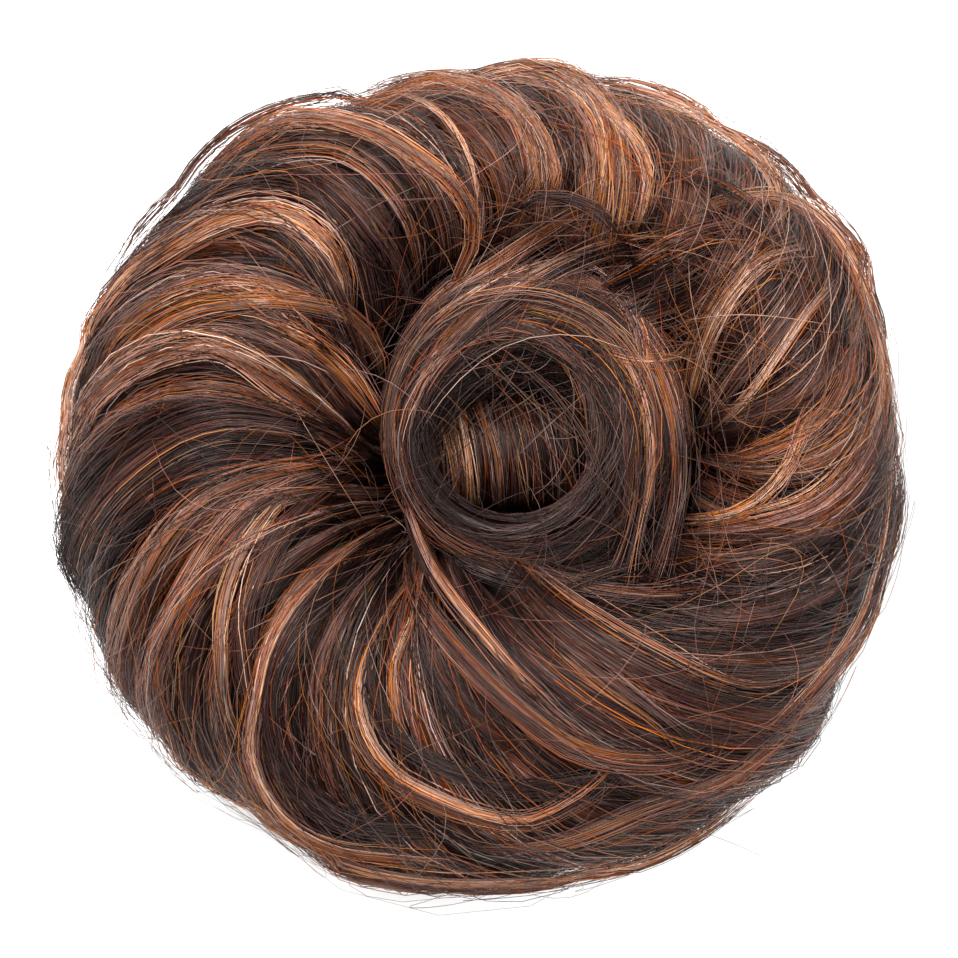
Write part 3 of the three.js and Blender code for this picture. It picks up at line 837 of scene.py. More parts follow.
# The elastic: a knitted tube in a ring
elastic = {
    "radius": 20.0,
    "tube": 2.9,
    "heart": 3.8,  # height of the tube's middle
    "ribs": 90,
    "ribDepth": 0.22,
    # painted shade: the valleys between the stitches take the dark colour, the ribs the lighter
    # one
    "valleyColour": (14, 12, 12),
    "ribColour": (56, 50, 50),
    "fuzzScale": 2500.0,
    "fuzzDepth": 0.0001,  # in metres
    "roughness": 0.75,
}


def elasticMaterial():
    material = bpy.data.materials.new("blackElastic")
    material.use_nodes = True
    nodes, links = material.node_tree.nodes, material.node_tree.links
    shader = nodes["Principled BSDF"]
    tone = addNode(nodes, "Attribute", {"attribute_name": "tone"})
    ramp = addNode(nodes, "ValToRGB")
    ramp.color_ramp.elements[0].color = linear(*elastic["valleyColour"])
    ramp.color_ramp.elements[1].color = linear(*elastic["ribColour"])
    links.new(tone.outputs["Fac"], ramp.inputs["Fac"])
    links.new(ramp.outputs["Color"], shader.inputs["Base Color"])
    fuzz = addNode(nodes, "TexNoise", {}, {"Scale": elastic["fuzzScale"]})
    coordinates = addNode(nodes, "TexCoord")
    links.new(coordinates.outputs["Object"], fuzz.inputs["Vector"])
    bump = addNode(nodes, "Bump", {}, {"Strength": 0.4, "Distance": elastic["fuzzDepth"]})
    links.new(fuzz.outputs["Fac"], bump.inputs["Height"])
    links.new(bump.outputs["Normal"], shader.inputs["Normal"])
    shader.inputs["Roughness"].default_value = elastic["roughness"]
    return material


def elasticBody():
    # A torus with two crossing sets of slanted ribs, whose product stands up as knitted stitches,
    # painted darker down in their valleys as painted shade.
    turn = np.linspace(0, 2 * np.pi, 540, endpoint=False)[:, None]
    section = np.linspace(0, 2 * np.pi, 24, endpoint=False)[None, :]
    ribs = elastic["ribs"]
    stitch = np.cos(turn * ribs + 4 * section) * np.cos(turn * ribs - 4 * section)
    tube = elastic["tube"] + elastic["ribDepth"] * (stitch - 1) / 2
    radius = elastic["radius"] + tube * np.cos(section)
    points = eyePoint(np.degrees(turn), radius, elastic["heart"] + tube * np.sin(section))
    return packedHair(points, 0.5 + 0.5 * stitch, (0.0, 0.0, 1.0, 1.0), ringU=True)


addPiece("elastic_band_knit", [elasticBody()], elasticMaterial(), "elastic", "elastic_band")
print("base and elastic made:", made["triangles"], "triangles so far")

# Wisps that lie over the locks, each along a line across the top of the bun. lift is how far a
# wisp stands up, and fray is how wide it is at its tip.
wispColumns = ["name", "tones", "width", "count", "lift", "fray", "line"]
wispTable = {
    "upper": [
        ("crown_edge", "gcg", 4.2, 64, 0.9, 0.6, [
            (-5.5, 31), (-3, 36), (-1, 40), (-1, 45), (-4, 50), (-9.5, 54.5), (-17.5, 59.5),
            (-25, 62), (-34.5, 63), (-42, 59), (-49.5, 51.5)]),
        ("crown_shade", "ddcd", 7, 64, 0.5, 0.9, [
            (-9.5, 31), (-9.5, 36.5), (-11, 44), (-15.5, 51), (-23.5, 57), (-33, 58),
            (-40.5, 56.5), (-46.5, 52)]),
        ("lifted_rim", "bbc", 4, 30, 2.4, 1.2, [
            (-14, 62), (-19.5, 65), (-26.5, 67.5), (-34.5, 66), (-42, 63), (-50, 58), (-54, 52.5),
            (-58, 46.5), (-63, 41), (-65.5, 35)]),
        ("thin_gold", "g", 1.3, 16, 1.2, 0.8, [
            (-0.5, 37.5), (0, 42.5), (0, 49), (-3, 58.5), (-8, 64.5), (-15, 68)]),
        ("brown_hollow", "dd", 6, 50, 0.2, 0.9, [
            (-1.5, 40), (-3, 47), (-5, 54), (-9.5, 60.5), (-14.5, 64.5)]),
        ("first_copper_band", "ccg", 3.2, 44, 1, 0.7, [
            (4.5, 37.5), (7.5, 45.5), (9.5, 51), (9, 56), (6, 62.5), (0, 67), (-8, 70),
            (-15.5, 67.5), (-22.5, 63.5)]),
        ("second_gold_band", "gcg", 2.6, 36, 1.1, 0.7, [
            (9.5, 41.5), (12, 47), (13.5, 51.5), (12, 57.5), (8, 64), (1.5, 69), (-7, 71.5)]),
        ("dark_band", "dd", 3.4, 40, 0.7, 0.8, [
            (14, 43.5), (14.5, 48.5), (15, 55.5), (12, 62.5), (6, 67.5), (-1.5, 72.5)]),
        ("broad_copper", "gcgc", 7, 84, 0.8, 0.8, [
            (18.5, 42.5), (20.5, 46.5), (22, 51.5), (21.5, 60), (16.5, 68), (7, 72.5),
            (-3.5, 74)]),
        ("top_rim", "gcb", 3.5, 46, 0.8, 1.2, [
            (28.5, 70.5), (21.5, 72), (14, 73.5), (2, 74.5), (-6, 74), (-15.5, 71.5),
            (-23.5, 66.5)]),
        ("right_copper", "cgc", 5, 56, 0.8, 0.8, [
            (26.5, 41), (28, 46), (29, 53), (26.5, 59), (21, 64.5), (14.5, 70.5)]),
        ("right_rim_band", "cgg", 4.4, 54, 1, 0.9, [
            (52.5, 43), (52.5, 50.5), (50, 56), (45, 61), (38.5, 65), (30, 68.5), (21.5, 71)]),
        ("outer_rim", "bcb", 3.4, 40, 1.6, 1, [
            (72.5, 23.5), (72, 31.5), (68.5, 38.5), (63, 45), (58, 52.5), (53, 58), (46, 63.5)]),
        ("dark_drift", "ddb", 3, 30, 1.5, 1, [
            (30, 53), (36.5, 51.5), (42.5, 49.5), (48.5, 45.5), (52.5, 40)]),
        ("long_gold", "cgg", 3.6, 48, 1.2, 0.9, [
            (36, 44.5), (40.5, 47), (47, 48.5), (54.5, 48.5), (61, 44.5), (65.5, 38), (68.5, 30),
            (71, 21.5), (71, 13.5), (67.5, 3)]),
    ],
    "middle": [
        ("dark_arch", "ddb", 2, 34, 2.6, 0.7, [
            (-1, 36.5), (0.5, 40), (4.5, 44.5), (10, 48), (15.5, 48), (21.5, 45), (25.5, 40),
            (28, 34)]),
        ("tangent_strands", "bcb", 5, 46, 1.2, 1.3, [
            (-11.5, 25), (-6, 31.5), (2, 36.5), (8.5, 40.5), (17.5, 45.5), (25.5, 47.5)]),
        ("under_eye", "dbdb", 4.5, 70, 0.2, 1.2, [
            (-11.5, -4), (-7, -9.5), (0, -13.2), (8, -14.6), (16, -13), (23, -9), (28, -3.5)]),
        ("under_eye_dark", "ddbd", 5.5, 76, 0.1, 1.3, [
            (-10, -8), (-4, -13), (4, -16.5), (13, -17.5), (22, -16), (30, -12.5)]),
        ("under_eye_brown", "bcb", 3.6, 44, 0.6, 1.4, [
            (-8.6, -4.5), (-3, -9.5), (4, -13.5), (12, -16.8), (21.5, -19), (31, -20),
            (41, -18.5)]),
        ("beside_eye", "dbd", 5, 60, 0.2, 1.2, [
            (24, 25), (28.5, 18), (30, 10), (30, 2), (28, -5), (24, -10)]),
        ("gold_loop", "cbgb", 3.6, 26, 1.4, 1.3, [
            (-13, 13), (-13, 20), (-8.5, 26), (-1.5, 31.5), (7.5, 36), (15.5, 37.5), (23, 34),
            (28, 26), (29, 17.5), (27.5, 9), (25, -3), (24, -14)]),
        ("left_loop", "dbd", 4.4, 50, 0.6, 1.1, [
            (-13, -4), (-14.5, 2), (-15.5, 9), (-14.5, 16.5), (-11.5, 23.5), (-5, 30.5),
            (3.5, 34.5)]),
        ("eye_fringe", "bdcb", 5, 44, 0.5, 1.4, [
            (-12, 0), (-12, 8), (-9.5, 16), (-4, 23), (4, 27), (12, 27.5), (19, 24), (23, 17.5)]),
        ("right_bundle", "bdcbd", 6.5, 84, 1.2, 1.6, [
            (22, 30), (28, 24), (32.5, 15.5), (34.5, 6), (34.5, -3), (32, -13), (29, -20)]),
        ("falling_bundle", "dbcdgb", 6.5, 84, 1.0, 1.7, [
            (20, 26.5), (24, 20), (27, 12), (28, 3), (27, -7), (25, -14), (22.5, -19.5)]),
        ("grey_edge", "db", 2, 22, 2.2, 1, [
            (31.5, 19), (35, 10), (36, 1), (35, -6.5), (33, -12.5)]),
        ("cross_gold", "gc", 1.4, 14, 1.5, 1.2, [
            (21, 22.5), (25, 21), (29.5, 20.5), (34.5, 21.5), (38, 25.5)]),
        ("outer_loop", "dbcb", 5, 46, 1.0, 1.2, [
            (-9, 10), (-8, 20), (-1, 28.5), (9, 33), (19, 33.5), (27, 29), (31.5, 21), (32, 11)]),
        ("rising_strands", "bdcb", 6, 50, 1.1, 1.4, [
            (-12, 12), (-5, 22), (5, 31), (16, 37.5), (27, 40.5), (36, 41)]),
        ("upper_crossing", "bdcb", 9, 70, 0.7, 1.5, [
            (19, 32), (27, 35.5), (34, 39), (41, 42), (48, 42)]),
        ("lower_crossing", "bdb", 7, 50, 0.5, 1.5, [(21, 25), (28, 29), (35, 31.5), (43, 36)]),
        ("copper_arc", "cbc", 3, 36, 0.9, 1.2, [
            (-4, 24.5), (3, 26.5), (10, 25), (15.5, 21), (18.8, 15), (19.6, 8), (18.5, 2)]),
        ("shiny_arc", "bdb", 3, 34, 0.9, 1.2, [
            (21, 8), (20.5, 1), (17, -5), (11, -8.5), (4, -9.5), (-3, -7.5)]),
        ("eye_strays", "bdbd", 16, 9, 1.4, 1.6, [
            (-13, 0), (-8, 9), (-1, 17), (8, 22), (18, 22), (26, 17)]),
        ("eye_cross", "cbd", 18, 9, 1.8, 1.6, [
            (20, -11), (18.5, 0), (13, 10), (4, 19), (-8, 26)]),
    ],
    "right": [
        ("copper_lock", "cgcb", 6, 66, 0.9, 0.9, [
            (36.5, 10.5), (37.5, 18.5), (40, 26.5), (43.5, 32.5), (48.5, 37.5), (56.5, 40)]),
        ("grey_crown", "dbbd", 7, 74, 0.7, 0.9, [
            (37.5, 7), (44, 17.5), (50, 25), (55, 32), (58, 39), (56.5, 43.5)]),
        ("bright_streak", "gg", 1.8, 24, 1.4, 0.8, [
            (40, 7), (48, 16), (52, 22), (56.5, 28.5), (62, 34.5)]),
        ("shaded_lock", "dbb", 6.5, 66, 0.4, 0.9, [
            (39.5, 6), (48, 10), (55.5, 14.5), (60, 22.5), (60.5, 31)]),
        ("low_copper", "ccg", 5.5, 60, 0.7, 0.9, [
            (41.5, 2.5), (46.5, 4), (54, 7), (61, 13), (64, 21), (62.5, 29)]),
        ("rim_copper", "cgb", 4, 46, 0.8, 0.9, [
            (59.5, -1.5), (63.5, 3), (68.5, 9), (70.5, 19.5), (67.5, 29)]),
        ("gold_sweep", "gg", 2.4, 32, 1.5, 1.1, [
            (34, -7.5), (39, -7.5), (43.5, -6.5), (49, -3.5), (53, 1.5), (55.5, 8), (58, 12.5)]),
        ("brown_sweep", "cbcg", 7, 80, 0.9, 0.9, [
            (34.5, -10), (41.5, -9.5), (49, -8.5), (58, -5.5), (65, 0.5), (69.5, 8), (71, 14.5)]),
        ("dark_sweep", "ddbd", 8, 84, 0.6, 0.9, [
            (33, -12.5), (40, -14.5), (49.5, -13.5), (59.5, -10), (66, -3), (71.5, 5.5)]),
        ("under_sweep", "dbdd", 9, 90, 0.4, 0.9, [
            (29.5, -20), (40.5, -22.5), (50.5, -21.5), (61, -17), (67, -9.5), (72, 0.5)]),
        ("low_rim", "cbg", 4.6, 54, 0.8, 1.1, [
            (49, -46), (56.5, -39.5), (63.5, -32), (68.5, -24), (71, -15), (73, -5), (74, 5.5)]),
        ("frayed_sheet", "cbbg", 10, 96, 1, 1.5, [
            (3.5, -12.5), (11.5, -21.5), (22, -29), (33.5, -35), (45.5, -39), (59, -40.5)]),
        ("frayed_fall", "cbc", 6, 46, 1.1, 1.7, [
            (7, -22), (17.5, -30.5), (28, -38.5), (38.5, -47)]),
    ],
    "lower": [
        ("edge_band", "cgb", 3.6, 60, 1, 0.8, [
            (-15, -11.5), (-20.5, -13.5), (-25, -15.5), (-31.5, -21.5), (-36, -29.5),
            (-38, -38.5), (-39.5, -47), (-37.5, -54.5), (-32.5, -61), (-25, -65), (-15, -66.5),
            (-4.5, -67.5)]),
        ("dark_inner_band", "dddd", 6, 84, 0.8, 0.8, [
            (-13, -12.5), (-21, -16.5), (-27.5, -21.5), (-32, -28), (-35, -35.5), (-35, -43),
            (-33, -50), (-28.5, -56), (-21.5, -60), (-13, -61), (-4.5, -60.5)]),
        ("curling_copper", "cbgc", 4.2, 66, 0.9, 1.2, [
            (-12, -17), (-16.5, -23), (-20, -30), (-21.5, -37.5), (-19.5, -45.5), (-15, -51.5),
            (-8, -55.5), (0, -58.5), (8.5, -59.5), (15.5, -56.5), (21.5, -52), (24.5, -47.5)]),
        ("short_gold", "gc", 2.2, 28, 1.1, 0.8, [
            (-11, -20), (-12, -26), (-14, -30.5), (-14.5, -36.5), (-13.5, -42.5),
            (-11.5, -46.5)]),
        ("purple_band", "ddd", 3.6, 50, 0.9, 0.9, [
            (-13.5, -17), (-17.5, -23.5), (-19, -30), (-18.5, -37), (-15.5, -44), (-9, -48.5),
            (-2, -51.5), (5.5, -53.5), (17, -52.5), (28, -50.5)]),
        ("dark_fall", "ddbd", 7, 70, 0.3, 1, [
            (-11, -18.5), (-10, -27), (-6.5, -35.5), (0, -43.5), (7, -48)]),
        ("long_copper", "cbcb", 4.4, 64, 1.1, 0.9, [
            (-11.5, -10), (-11.5, -17.5), (-8.5, -23.5), (-2.5, -31), (3, -36.5), (8.5, -41),
            (17, -46.5), (26.5, -48.5), (35, -48), (42, -45)]),
        ("shiny_streak", "bgb", 3.4, 44, 1.2, 0.9, [
            (-13.5, -1.5), (-11.5, -8), (-8.5, -15), (-4.5, -21), (1, -27.5), (7, -34),
            (14, -39.5)]),
        ("low_rim_band", "cbgb", 5, 66, 0.7, 1.2, [
            (-43.5, -56), (-35.5, -62), (-25, -68.5), (-11, -72), (5.5, -72.5), (22.5, -70.5),
            (38, -64.5), (49.5, -56)]),
        ("outer_brown", "bcb", 5, 50, 0.6, 1.1, [
            (-1.5, -64.5), (14, -63.5), (30, -57.5), (43.5, -52.5), (54, -45)]),
    ],
    "left": [
        ("rim_gold", "cgg", 3.4, 50, 0.8, 0.9, [
            (-46, 45), (-52.5, 41.5), (-58, 38.5), (-63.5, 34), (-68.5, 27.5), (-72, 20.5),
            (-74, 12.5), (-74.5, 5.5), (-73.5, -5.5)]),
        ("copper_fan", "gcgc", 6, 74, 0.9, 0.9, [
            (-22.5, 27.5), (-23.5, 35.5), (-27.5, 41.5), (-35.5, 45.5), (-43.5, 44.5),
            (-49.5, 42), (-55.5, 38.5), (-62, 34.5)]),
        ("dark_stripe", "dd", 2.4, 30, 1, 0.8, [
            (-25.5, 28.5), (-33.5, 36.5), (-41.5, 37.5), (-49.5, 37), (-57, 34.5), (-63.5, 30),
            (-68.5, 24), (-70.5, 15.5)]),
        ("second_copper", "cbcg", 5, 64, 0.8, 0.9, [
            (-20.5, 23.5), (-27.5, 30.5), (-35.5, 34), (-43.5, 35), (-51.5, 33.5), (-59, 30),
            (-65, 25), (-68.5, 17.5)]),
        ("red_copper", "ccb", 4.4, 60, 1, 0.8, [
            (-16.5, 15), (-18, 22.5), (-23.5, 28), (-31.5, 30), (-41, 30), (-49, 29), (-55, 26.5),
            (-61, 22), (-65.5, 17)]),
        ("shadow_lock", "ddbd", 6.5, 70, 0.5, 0.9, [
            (-19, 9), (-23.5, 12.5), (-27.5, 18.5), (-35, 24), (-43, 26.5), (-50.5, 26),
            (-57.5, 23)]),
        ("bright_copper", "cccg", 5, 60, 0.9, 0.8, [
            (-25.5, 9), (-30.5, 12.5), (-35.5, 16), (-39.5, 19.5), (-45.5, 22.5), (-51, 22),
            (-57.5, 20), (-63, 17), (-68, 12.5), (-70, 6.5)]),
        ("copper_sheet", "cgcb", 5.5, 64, 0.9, 0.9, [
            (-15.5, 7), (-19, 12.5), (-23.5, 18.5), (-31, 24), (-37.5, 26.5), (-44, 28.5)]),
        ("grey_ridge", "dbdd", 7, 70, 0.5, 0.9, [
            (-12, 26), (-13.5, 34), (-18, 41.5), (-24, 48.5), (-30, 53), (-36, 54.5), (-43, 54)]),
        ("great_dark_lock", "ddbdd", 9.5, 120, 0.9, 0.9, [
            (-18.5, 3.5), (-21, 4.5), (-27.5, 7), (-35.5, 8.5), (-43.5, 9), (-51, 7),
            (-58.5, 2.5), (-65, -3), (-70, -9.5), (-72.5, -16), (-70.5, -23)]),
        ("first_stripe", "ccb", 5, 64, 0.9, 0.9, [
            (-19.5, 3.5), (-22, 3.5), (-29.5, 2), (-39, 0), (-47, -3.5), (-54.5, -11), (-59, -19),
            (-62, -26.5), (-64, -34.5), (-61, -41.5)]),
        ("thin_shade", "dd", 2, 26, 0.9, 0.8, [
            (-25.5, -0.5), (-33.5, -2.5), (-41, -8), (-47, -16), (-52.5, -24), (-57, -32.5)]),
        ("second_stripe", "ccbc", 6, 74, 0.8, 0.9, [
            (-22, 1.5), (-31, -0.5), (-39, -5), (-45, -11.5), (-50.5, -20.5), (-55, -28.5),
            (-58, -38.5), (-56, -46)]),
        ("gold_stripe", "gcg", 2.6, 44, 1.2, 0.8, [
            (-26, -0.5), (-33.5, -3.5), (-38.5, -9), (-42.5, -16.5), (-44.5, -24.5), (-44.5, -32),
            (-44, -40), (-41.5, -46.5)]),
        ("grey_lock", "dbdd", 5.5, 70, 0.9, 0.9, [
            (-20.5, 1), (-27.5, -3.5), (-33.5, -9), (-37.5, -16.5), (-40, -24.5), (-40, -32),
            (-38.5, -40), (-38, -46)]),
    ],
}

topGrid = {"half": 84.0, "cell": 1.4, "fillRounds": 14, "smoothRounds": 2}


def fromNeighbours(heights):
    return np.stack([np.roll(heights, s, axis) for s in (-1, 1) for axis in (0, 1)])


def crownHeights():
    # The highest hair in each square of a grid over the bun. An empty square takes the height of
    # its neighbours, and the whole is smoothed.
    size = int(2 * topGrid["half"] / topGrid["cell"]) + 1
    heights = np.zeros((size, size))
    along = np.linspace(0, 0.9, 160)[:, None]
    across = np.linspace(0, 1, 40)[None, :]
    lifts = [lockLift(lock, across, along) for lock in locks]
    surfaces = [hairPoint(i + across, along, lift) for i, lift in enumerate(lifts)]
    turn = np.linspace(0, 360, 360)[:, None]
    share = np.linspace(0, 1, 12)[None, :]
    ringZ = eye["ringLow"] + eye["ringHeight"] / 2 * (1 + np.sin(np.pi * (0.1 + 0.8 * share)))
    surfaces.append(eyePoint(turn, eye["ringRadius"] + eye["ringWidth"] * (share - 0.5), ringZ))
    surfaces.append(archPoint(turn / 360, np.radians(15 + 150 * share), 1.0))
    for surface in surfaces:
        cell = ((surface[..., :2] + topGrid["half"]) / topGrid["cell"]).astype(int)
        np.maximum.at(heights, (cell[..., 1], cell[..., 0]), surface[..., 2])
    for _ in range(topGrid["fillRounds"]):
        heights = np.where(heights == 0, fromNeighbours(heights).max(0), heights)
    for _ in range(topGrid["smoothRounds"]):
        heights = heights * 0.4 + fromNeighbours(heights).sum(0) * 0.15
    return heights


heights = crownHeights()


def heightAt(x, y):
    # Between the four nearest squares of the grid, in proportion.
    gx = (x + topGrid["half"]) / topGrid["cell"] - 0.5
    gy = (y + topGrid["half"]) / topGrid["cell"] - 0.5
    top = heights.shape[0] - 2
    ix, iy = np.clip(gx.astype(int), 0, top), np.clip(gy.astype(int), 0, top)
    fx, fy = gx - ix, gy - iy
    low = heights[iy, ix] * (1 - fx) + heights[iy, ix + 1] * fx
    high = heights[iy + 1, ix] * (1 - fx) + heights[iy + 1, ix + 1] * fx
    return low * (1 - fy) + high * fy


def tautHeight(x, y):
    # The height of the hair along each strand, with its dips bridged: the mean of five steps
    # in a row where that is higher.
    z = heightAt(x, y)
    padded = np.concatenate([z[:, :1], z[:, :1], z, z[:, -1:], z[:, -1:]], 1)
    return np.maximum(z, sum(padded[:, k:k + z.shape[1]] for k in range(5)) / 5)


def rimRadius(x, y):
    # How far the locks' surface at the rim is from the bun's middle, on the way to each (x, y).
    across = np.linspace(0, 1, 12)
    lifts = [lockLift(lock, across, bun["rimAlong"]) for lock in locks]
    lanes = np.arange(laneCount)[:, None] + across
    rim = hairPoint(lanes, bun["rimAlong"], np.array(lifts)).reshape(-1, 3)
    outX, outY = rim[:, 0] - middleX, rim[:, 1] - middleY
    angle = np.arctan2(y - middleY, x - middleX)
    return np.interp(angle, np.arctan2(outY, outX), np.hypot(outX, outY), period=2 * np.pi)


wispShape = {
    "spacing": 4.5,  # of the points along a strand
    "pastRim": 1.1,  # how far a flat wisp may reach past the locks at the rim
    "rimSpread": 1.1,
    "rootSunk": 2.4,
    "tipSunk": 0.7,
    "dome": 0.12,  # rise of a wisp's middle, as a share of its width
    "strays": 0.1,  # share of strands that stray, and how far their tips go
    "strayReach": 3.0,
}


def wispStrands(wisp, rng, cellBox):
    # Strands side by side along a smooth curve through the wisp's points, at the height of the
    # hair there and inside the outline. The wisp is narrow at its root, and its strands part
    # and stop short of each other at its tip.
    line = np.array(wisp["line"], float)
    lengths = np.concatenate([[0], np.cumsum(np.hypot(*np.diff(line, axis=0).T))])
    count = wisp["count"]
    steps = int(np.clip(lengths[-1] / wispShape["spacing"], 8, 24))
    t = np.linspace(0, 1, steps)[None, :]
    start = rng.uniform(0, 0.12, (count, 1))
    shortest = 0.86 - 0.3 * max(wisp["fray"] - 1, 0)
    share = start + (rng.uniform(shortest, 1.0, (count, 1)) - start) * t
    s, step = share * lengths[-1], lengths[-1] * 0.01
    x, y = smoothCurve(s, lengths, line[:, 0]), smoothCurve(s, lengths, line[:, 1])
    dx = smoothCurve(s + step, lengths, line[:, 0]) - smoothCurve(s - step, lengths, line[:, 0])
    dy = smoothCurve(s + step, lengths, line[:, 1]) - smoothCurve(s - step, lengths, line[:, 1])
    size = np.hypot(dx, dy)
    place = np.clip(rng.normal(0, 0.5, (count, 1)), -1.25, 1.25)
    fan = smoothCurve(share, [0, 0.15, 0.5, 0.85, 1], [0.35, 0.75, 1, 0.9, wisp["fray"]])
    strays = rng.random((count, 1)) < wispShape["strays"]
    stray = strays * rng.normal(0, wispShape["strayReach"], (count, 1)) * share**2
    offset = place * wisp["width"] / 2 * fan + stray
    offset += rng.normal(0, 0.35, (count, 1)) * np.sin(share * 5 + rng.uniform(0, 6, (count, 1)))
    x, y = x - dy / size * offset, y + dx / size * offset
    outermost = rimRadius(x, y) + wispShape["pastRim"] + 0.7 * wisp["lift"]
    outermost = outermost - np.abs(rng.normal(0, wispShape["rimSpread"], (count, 1)))
    pull = np.minimum(outermost / np.hypot(x - middleX, y - middleY), 1)
    x, y = middleX + (x - middleX) * pull, middleY + (y - middleY) * pull
    bow = np.sin(np.pi * (t * 0.9 + 0.05)) ** 0.6
    sunk = wispShape["rootSunk"] * np.exp(-((t / 0.12) ** 2))
    sunk = sunk + wispShape["tipSunk"] * np.exp(-(((1 - t) / 0.1) ** 2))
    dome = (1 - (place / 1.25) ** 2) * wisp["width"] * wispShape["dome"]
    deep = np.abs(rng.normal(0, 0.35, (count, 1)))
    z = tautHeight(x, y) + (wisp["lift"] + dome) * bow - sunk - deep
    z += np.abs(stray) * 0.2
    tone = mixedTones(wisp["tones"], (place[:, 0] + 1.25) / 2.5, rng, 0.08, 0.08)[:, None]
    # Painted shade: strands that lie deeper are darker, and so are both ends of a wisp, where it
    # sinks into the hair.
    tone = tone - 0.08 * deep - 0.14 * (1 - bow)
    return strandTubes(np.stack([x, y, z], -1), tone, rng, cellBox)


for i, (side, rows) in enumerate(wispTable.items()):
    rng = np.random.default_rng(300 + i)
    parts = []
    for k, row in enumerate(rows):
        cellBox = (0.0, k / len(rows), 1.0, (k + 0.97) / len(rows))
        parts.append(wispStrands(dict(zip(wispColumns, row)), rng, cellBox))
    addPiece(side + "_wisps", parts, hair, "warm_hair")
print("wisps made:", made["triangles"], "triangles so far")

# Flyaways: single strands that cross the locks, most of them at the upper right, and the fuzz
# beyond the rim. side is how many lanes they run across.
flyawayThickness = 0.11
flyaways = [
    {"count": 220, "lanes": (0, 23), "along": (0.05, 0.85), "side": 1.0, "lift": 1.2},
    {"count": 170, "lanes": (15.5, 22.5), "along": (0.02, 0.7), "side": 2.0, "lift": 1.5},
    {"count": 60, "lanes": (8, 14), "along": (0.05, 0.8), "side": 1.3, "lift": 1.5},
    {"count": 70, "lanes": (5, 12), "along": (0.55, 1.0), "side": 0.8, "lift": 2.2},
]


def flyawayStrands(kind, rng, cellBox):
    # A strand runs from one place on the crown to another in a bow, across the lines of the hair.
    count = kind["count"]
    t = np.linspace(0, 1, 12)[None, :]
    lane = rng.uniform(*kind["lanes"], (count, 1)) + rng.normal(0, kind["side"], (count, 1)) * t
    lane += rng.normal(0, 0.8, (count, 1)) * np.sin(np.pi * t)
    low, high = kind["along"]
    run = rng.uniform(0.2, 0.6, (count, 1)) * rng.choice([-1, 1], (count, 1), p=[0.25, 0.75])
    along = np.clip(rng.uniform(low, high, (count, 1)) + run * t, low, high)
    lift = np.abs(rng.normal(0, kind["lift"], (count, 1))) * np.sin(np.pi * t) ** 0.8 - 0.5
    paths = aboveFloor(hairPoint(np.clip(lane, -2.4, laneCount + 2.4), along, lift))
    tone = rng.choice([0.15, 0.3, 0.42, 0.55, 0.7], count) + rng.normal(0, 0.06, count)
    return strandTubes(paths, tone, rng, cellBox, flyawayThickness)


# Loose strands that cross the hair in every direction round a place.
tangleColumns = ["count", "x", "y", "spread", "length", "heading", "lift"]
tangleTable = [
    (90, 4, 29, 10, (12, 36), 35, 1.3),
    (160, 34, 27, 12, (12, 34), 60, 1.6),
    (90, 26, -14, 13, (10, 34), -30, 1.2),
    (50, -20, 0, 18, (10, 30), 20, 1.2),
]


def tangledStrands(kind, rng, cellBox):
    # A strand starts near the place and turns at a steady rate. It lies on the hair or is
    # stretched from its start to its end, whichever is higher.
    count, steps = kind["count"], 10
    t = np.linspace(0, 1, steps)[None, :]
    length = rng.uniform(*kind["length"], (count, 1))
    heading = np.radians(kind["heading"] + rng.normal(0, 55, (count, 1)))
    heading = heading + rng.normal(0, 0.9, (count, 1)) * t
    stepX, stepY = np.cos(heading) * length / steps, np.sin(heading) * length / steps
    x = kind["x"] + rng.normal(0, kind["spread"], (count, 1)) + np.cumsum(stepX, 1) - stepX[:, :1]
    y = kind["y"] + rng.normal(0, kind["spread"], (count, 1)) + np.cumsum(stepY, 1) - stepY[:, :1]
    x, y = x - np.cos(heading[:, :1]) * length / 2, y - np.sin(heading[:, :1]) * length / 2
    z = heightAt(x, y)
    z = np.maximum(z, z[:, :1] * (1 - t) + z[:, -1:] * t)
    z = z + np.abs(rng.normal(0, kind["lift"], (count, 1))) * np.sin(np.pi * t) ** 0.8 - 0.3
    tone = rng.choice([0.2, 0.35, 0.5, 0.62], count) + rng.normal(0, 0.06, count)
    return strandTubes(aboveFloor(np.stack([x, y, z], -1)), tone, rng, cellBox, flyawayThickness)


rng = np.random.default_rng(500)
parts = []
kinds = [(flyawayStrands, kind) for kind in flyaways]
kinds += [(tangledStrands, dict(zip(tangleColumns, row))) for row in tangleTable]
for k, (makeStrands, kind) in enumerate(kinds):
    cellBox = (0.0, k / len(kinds), 1.0, (k + 0.97) / len(kinds))
    parts.append(makeStrands(kind, rng, cellBox))
addPiece("flyaways", parts, hair, "warm_hair")
print("flyaways made:", made["triangles"], "triangles in all")

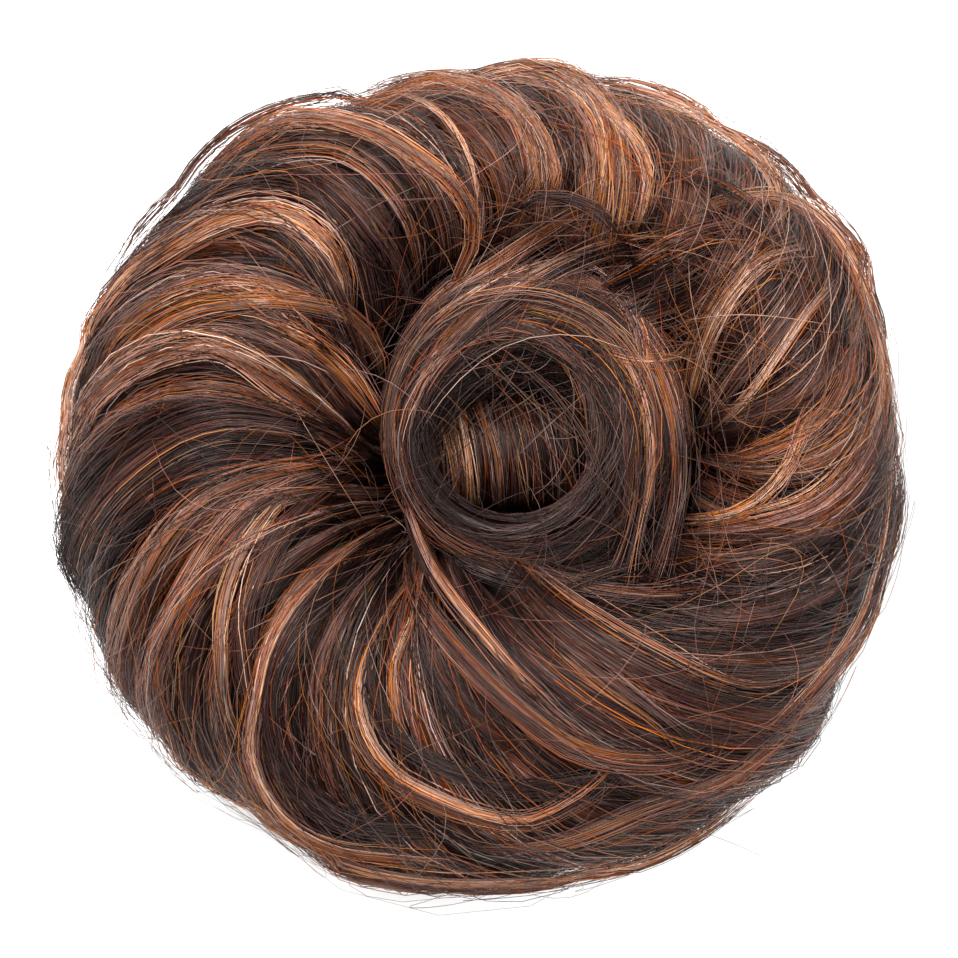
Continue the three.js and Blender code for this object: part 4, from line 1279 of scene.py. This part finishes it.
# Floor, light and camera
stage = {  # metres
    "size": 3.0,
    "colour": (0.9, 0.9, 0.9, 1.0),
    "roughness": 0.9,
    "lampAim": (0.0, 0.0, 0.03),
    "ambient": 0.5,  # strength of the white all round
}
half = stage["size"] / 2
floorMesh = bpy.data.meshes.new("floor")
corners = [(-half, -half, 0), (half, -half, 0), (half, half, 0), (-half, half, 0)]
floorMesh.from_pydata(corners, [], [(0, 1, 2, 3)])
floor = bpy.data.objects.new("floor", floorMesh)
bpy.context.scene.collection.objects.link(floor)
floorPaint = bpy.data.materials.new("paleFloor")
floorPaint.use_nodes = True
floorShader = floorPaint.node_tree.nodes["Principled BSDF"]
floorShader.inputs["Base Color"].default_value = stage["colour"]
floorShader.inputs["Roughness"].default_value = stage["roughness"]
floorMesh.materials.append(floorPaint)

lights = {  # place in metres, size in metres, watts
    "key": ((-0.35, 0.55, 0.95), 0.6, 26.0),
    "fill": ((0.7, -0.1, 0.8), 0.8, 8.0),
    "top": ((0.0, 0.0, 1.4), 0.8, 14.0),
}
for name, (place, size, watts) in lights.items():
    lamp = bpy.data.lights.new(name, "AREA")
    lamp.size = size
    lamp.energy = watts
    lampObject = bpy.data.objects.new(name, lamp)
    lampObject.location = place
    aim = Vector(stage["lampAim"]) - Vector(place)
    lampObject.rotation_euler = aim.to_track_quat("-Z", "Y").to_euler()
    bpy.context.scene.collection.objects.link(lampObject)

world = bpy.data.worlds.new("studio")
world.use_nodes = True
background = world.node_tree.nodes["Background"]
background.inputs["Color"].default_value = (1, 1, 1, 1)
background.inputs["Strength"].default_value = stage["ambient"]
bpy.context.scene.world = world
bpy.context.scene.view_settings.view_transform = "Standard"

view = {  # metres, and the sensor in millimetres
    "height": 0.93,
    "y": -0.0003,
    "fieldAtRim": 0.1695,  # width of the image at the height of the rim
    "rimHeight": 0.03,
    "sensor": 36.0,
}
camera = bpy.data.cameras.new("camera")
camera.sensor_width = view["sensor"]
camera.lens = view["sensor"] * (view["height"] - view["rimHeight"]) / view["fieldAtRim"]
cameraObject = bpy.data.objects.new("camera", camera)
cameraObject.location = (0.0, view["y"], view["height"])
bpy.context.scene.collection.objects.link(cameraObject)
bpy.context.scene.camera = cameraObject
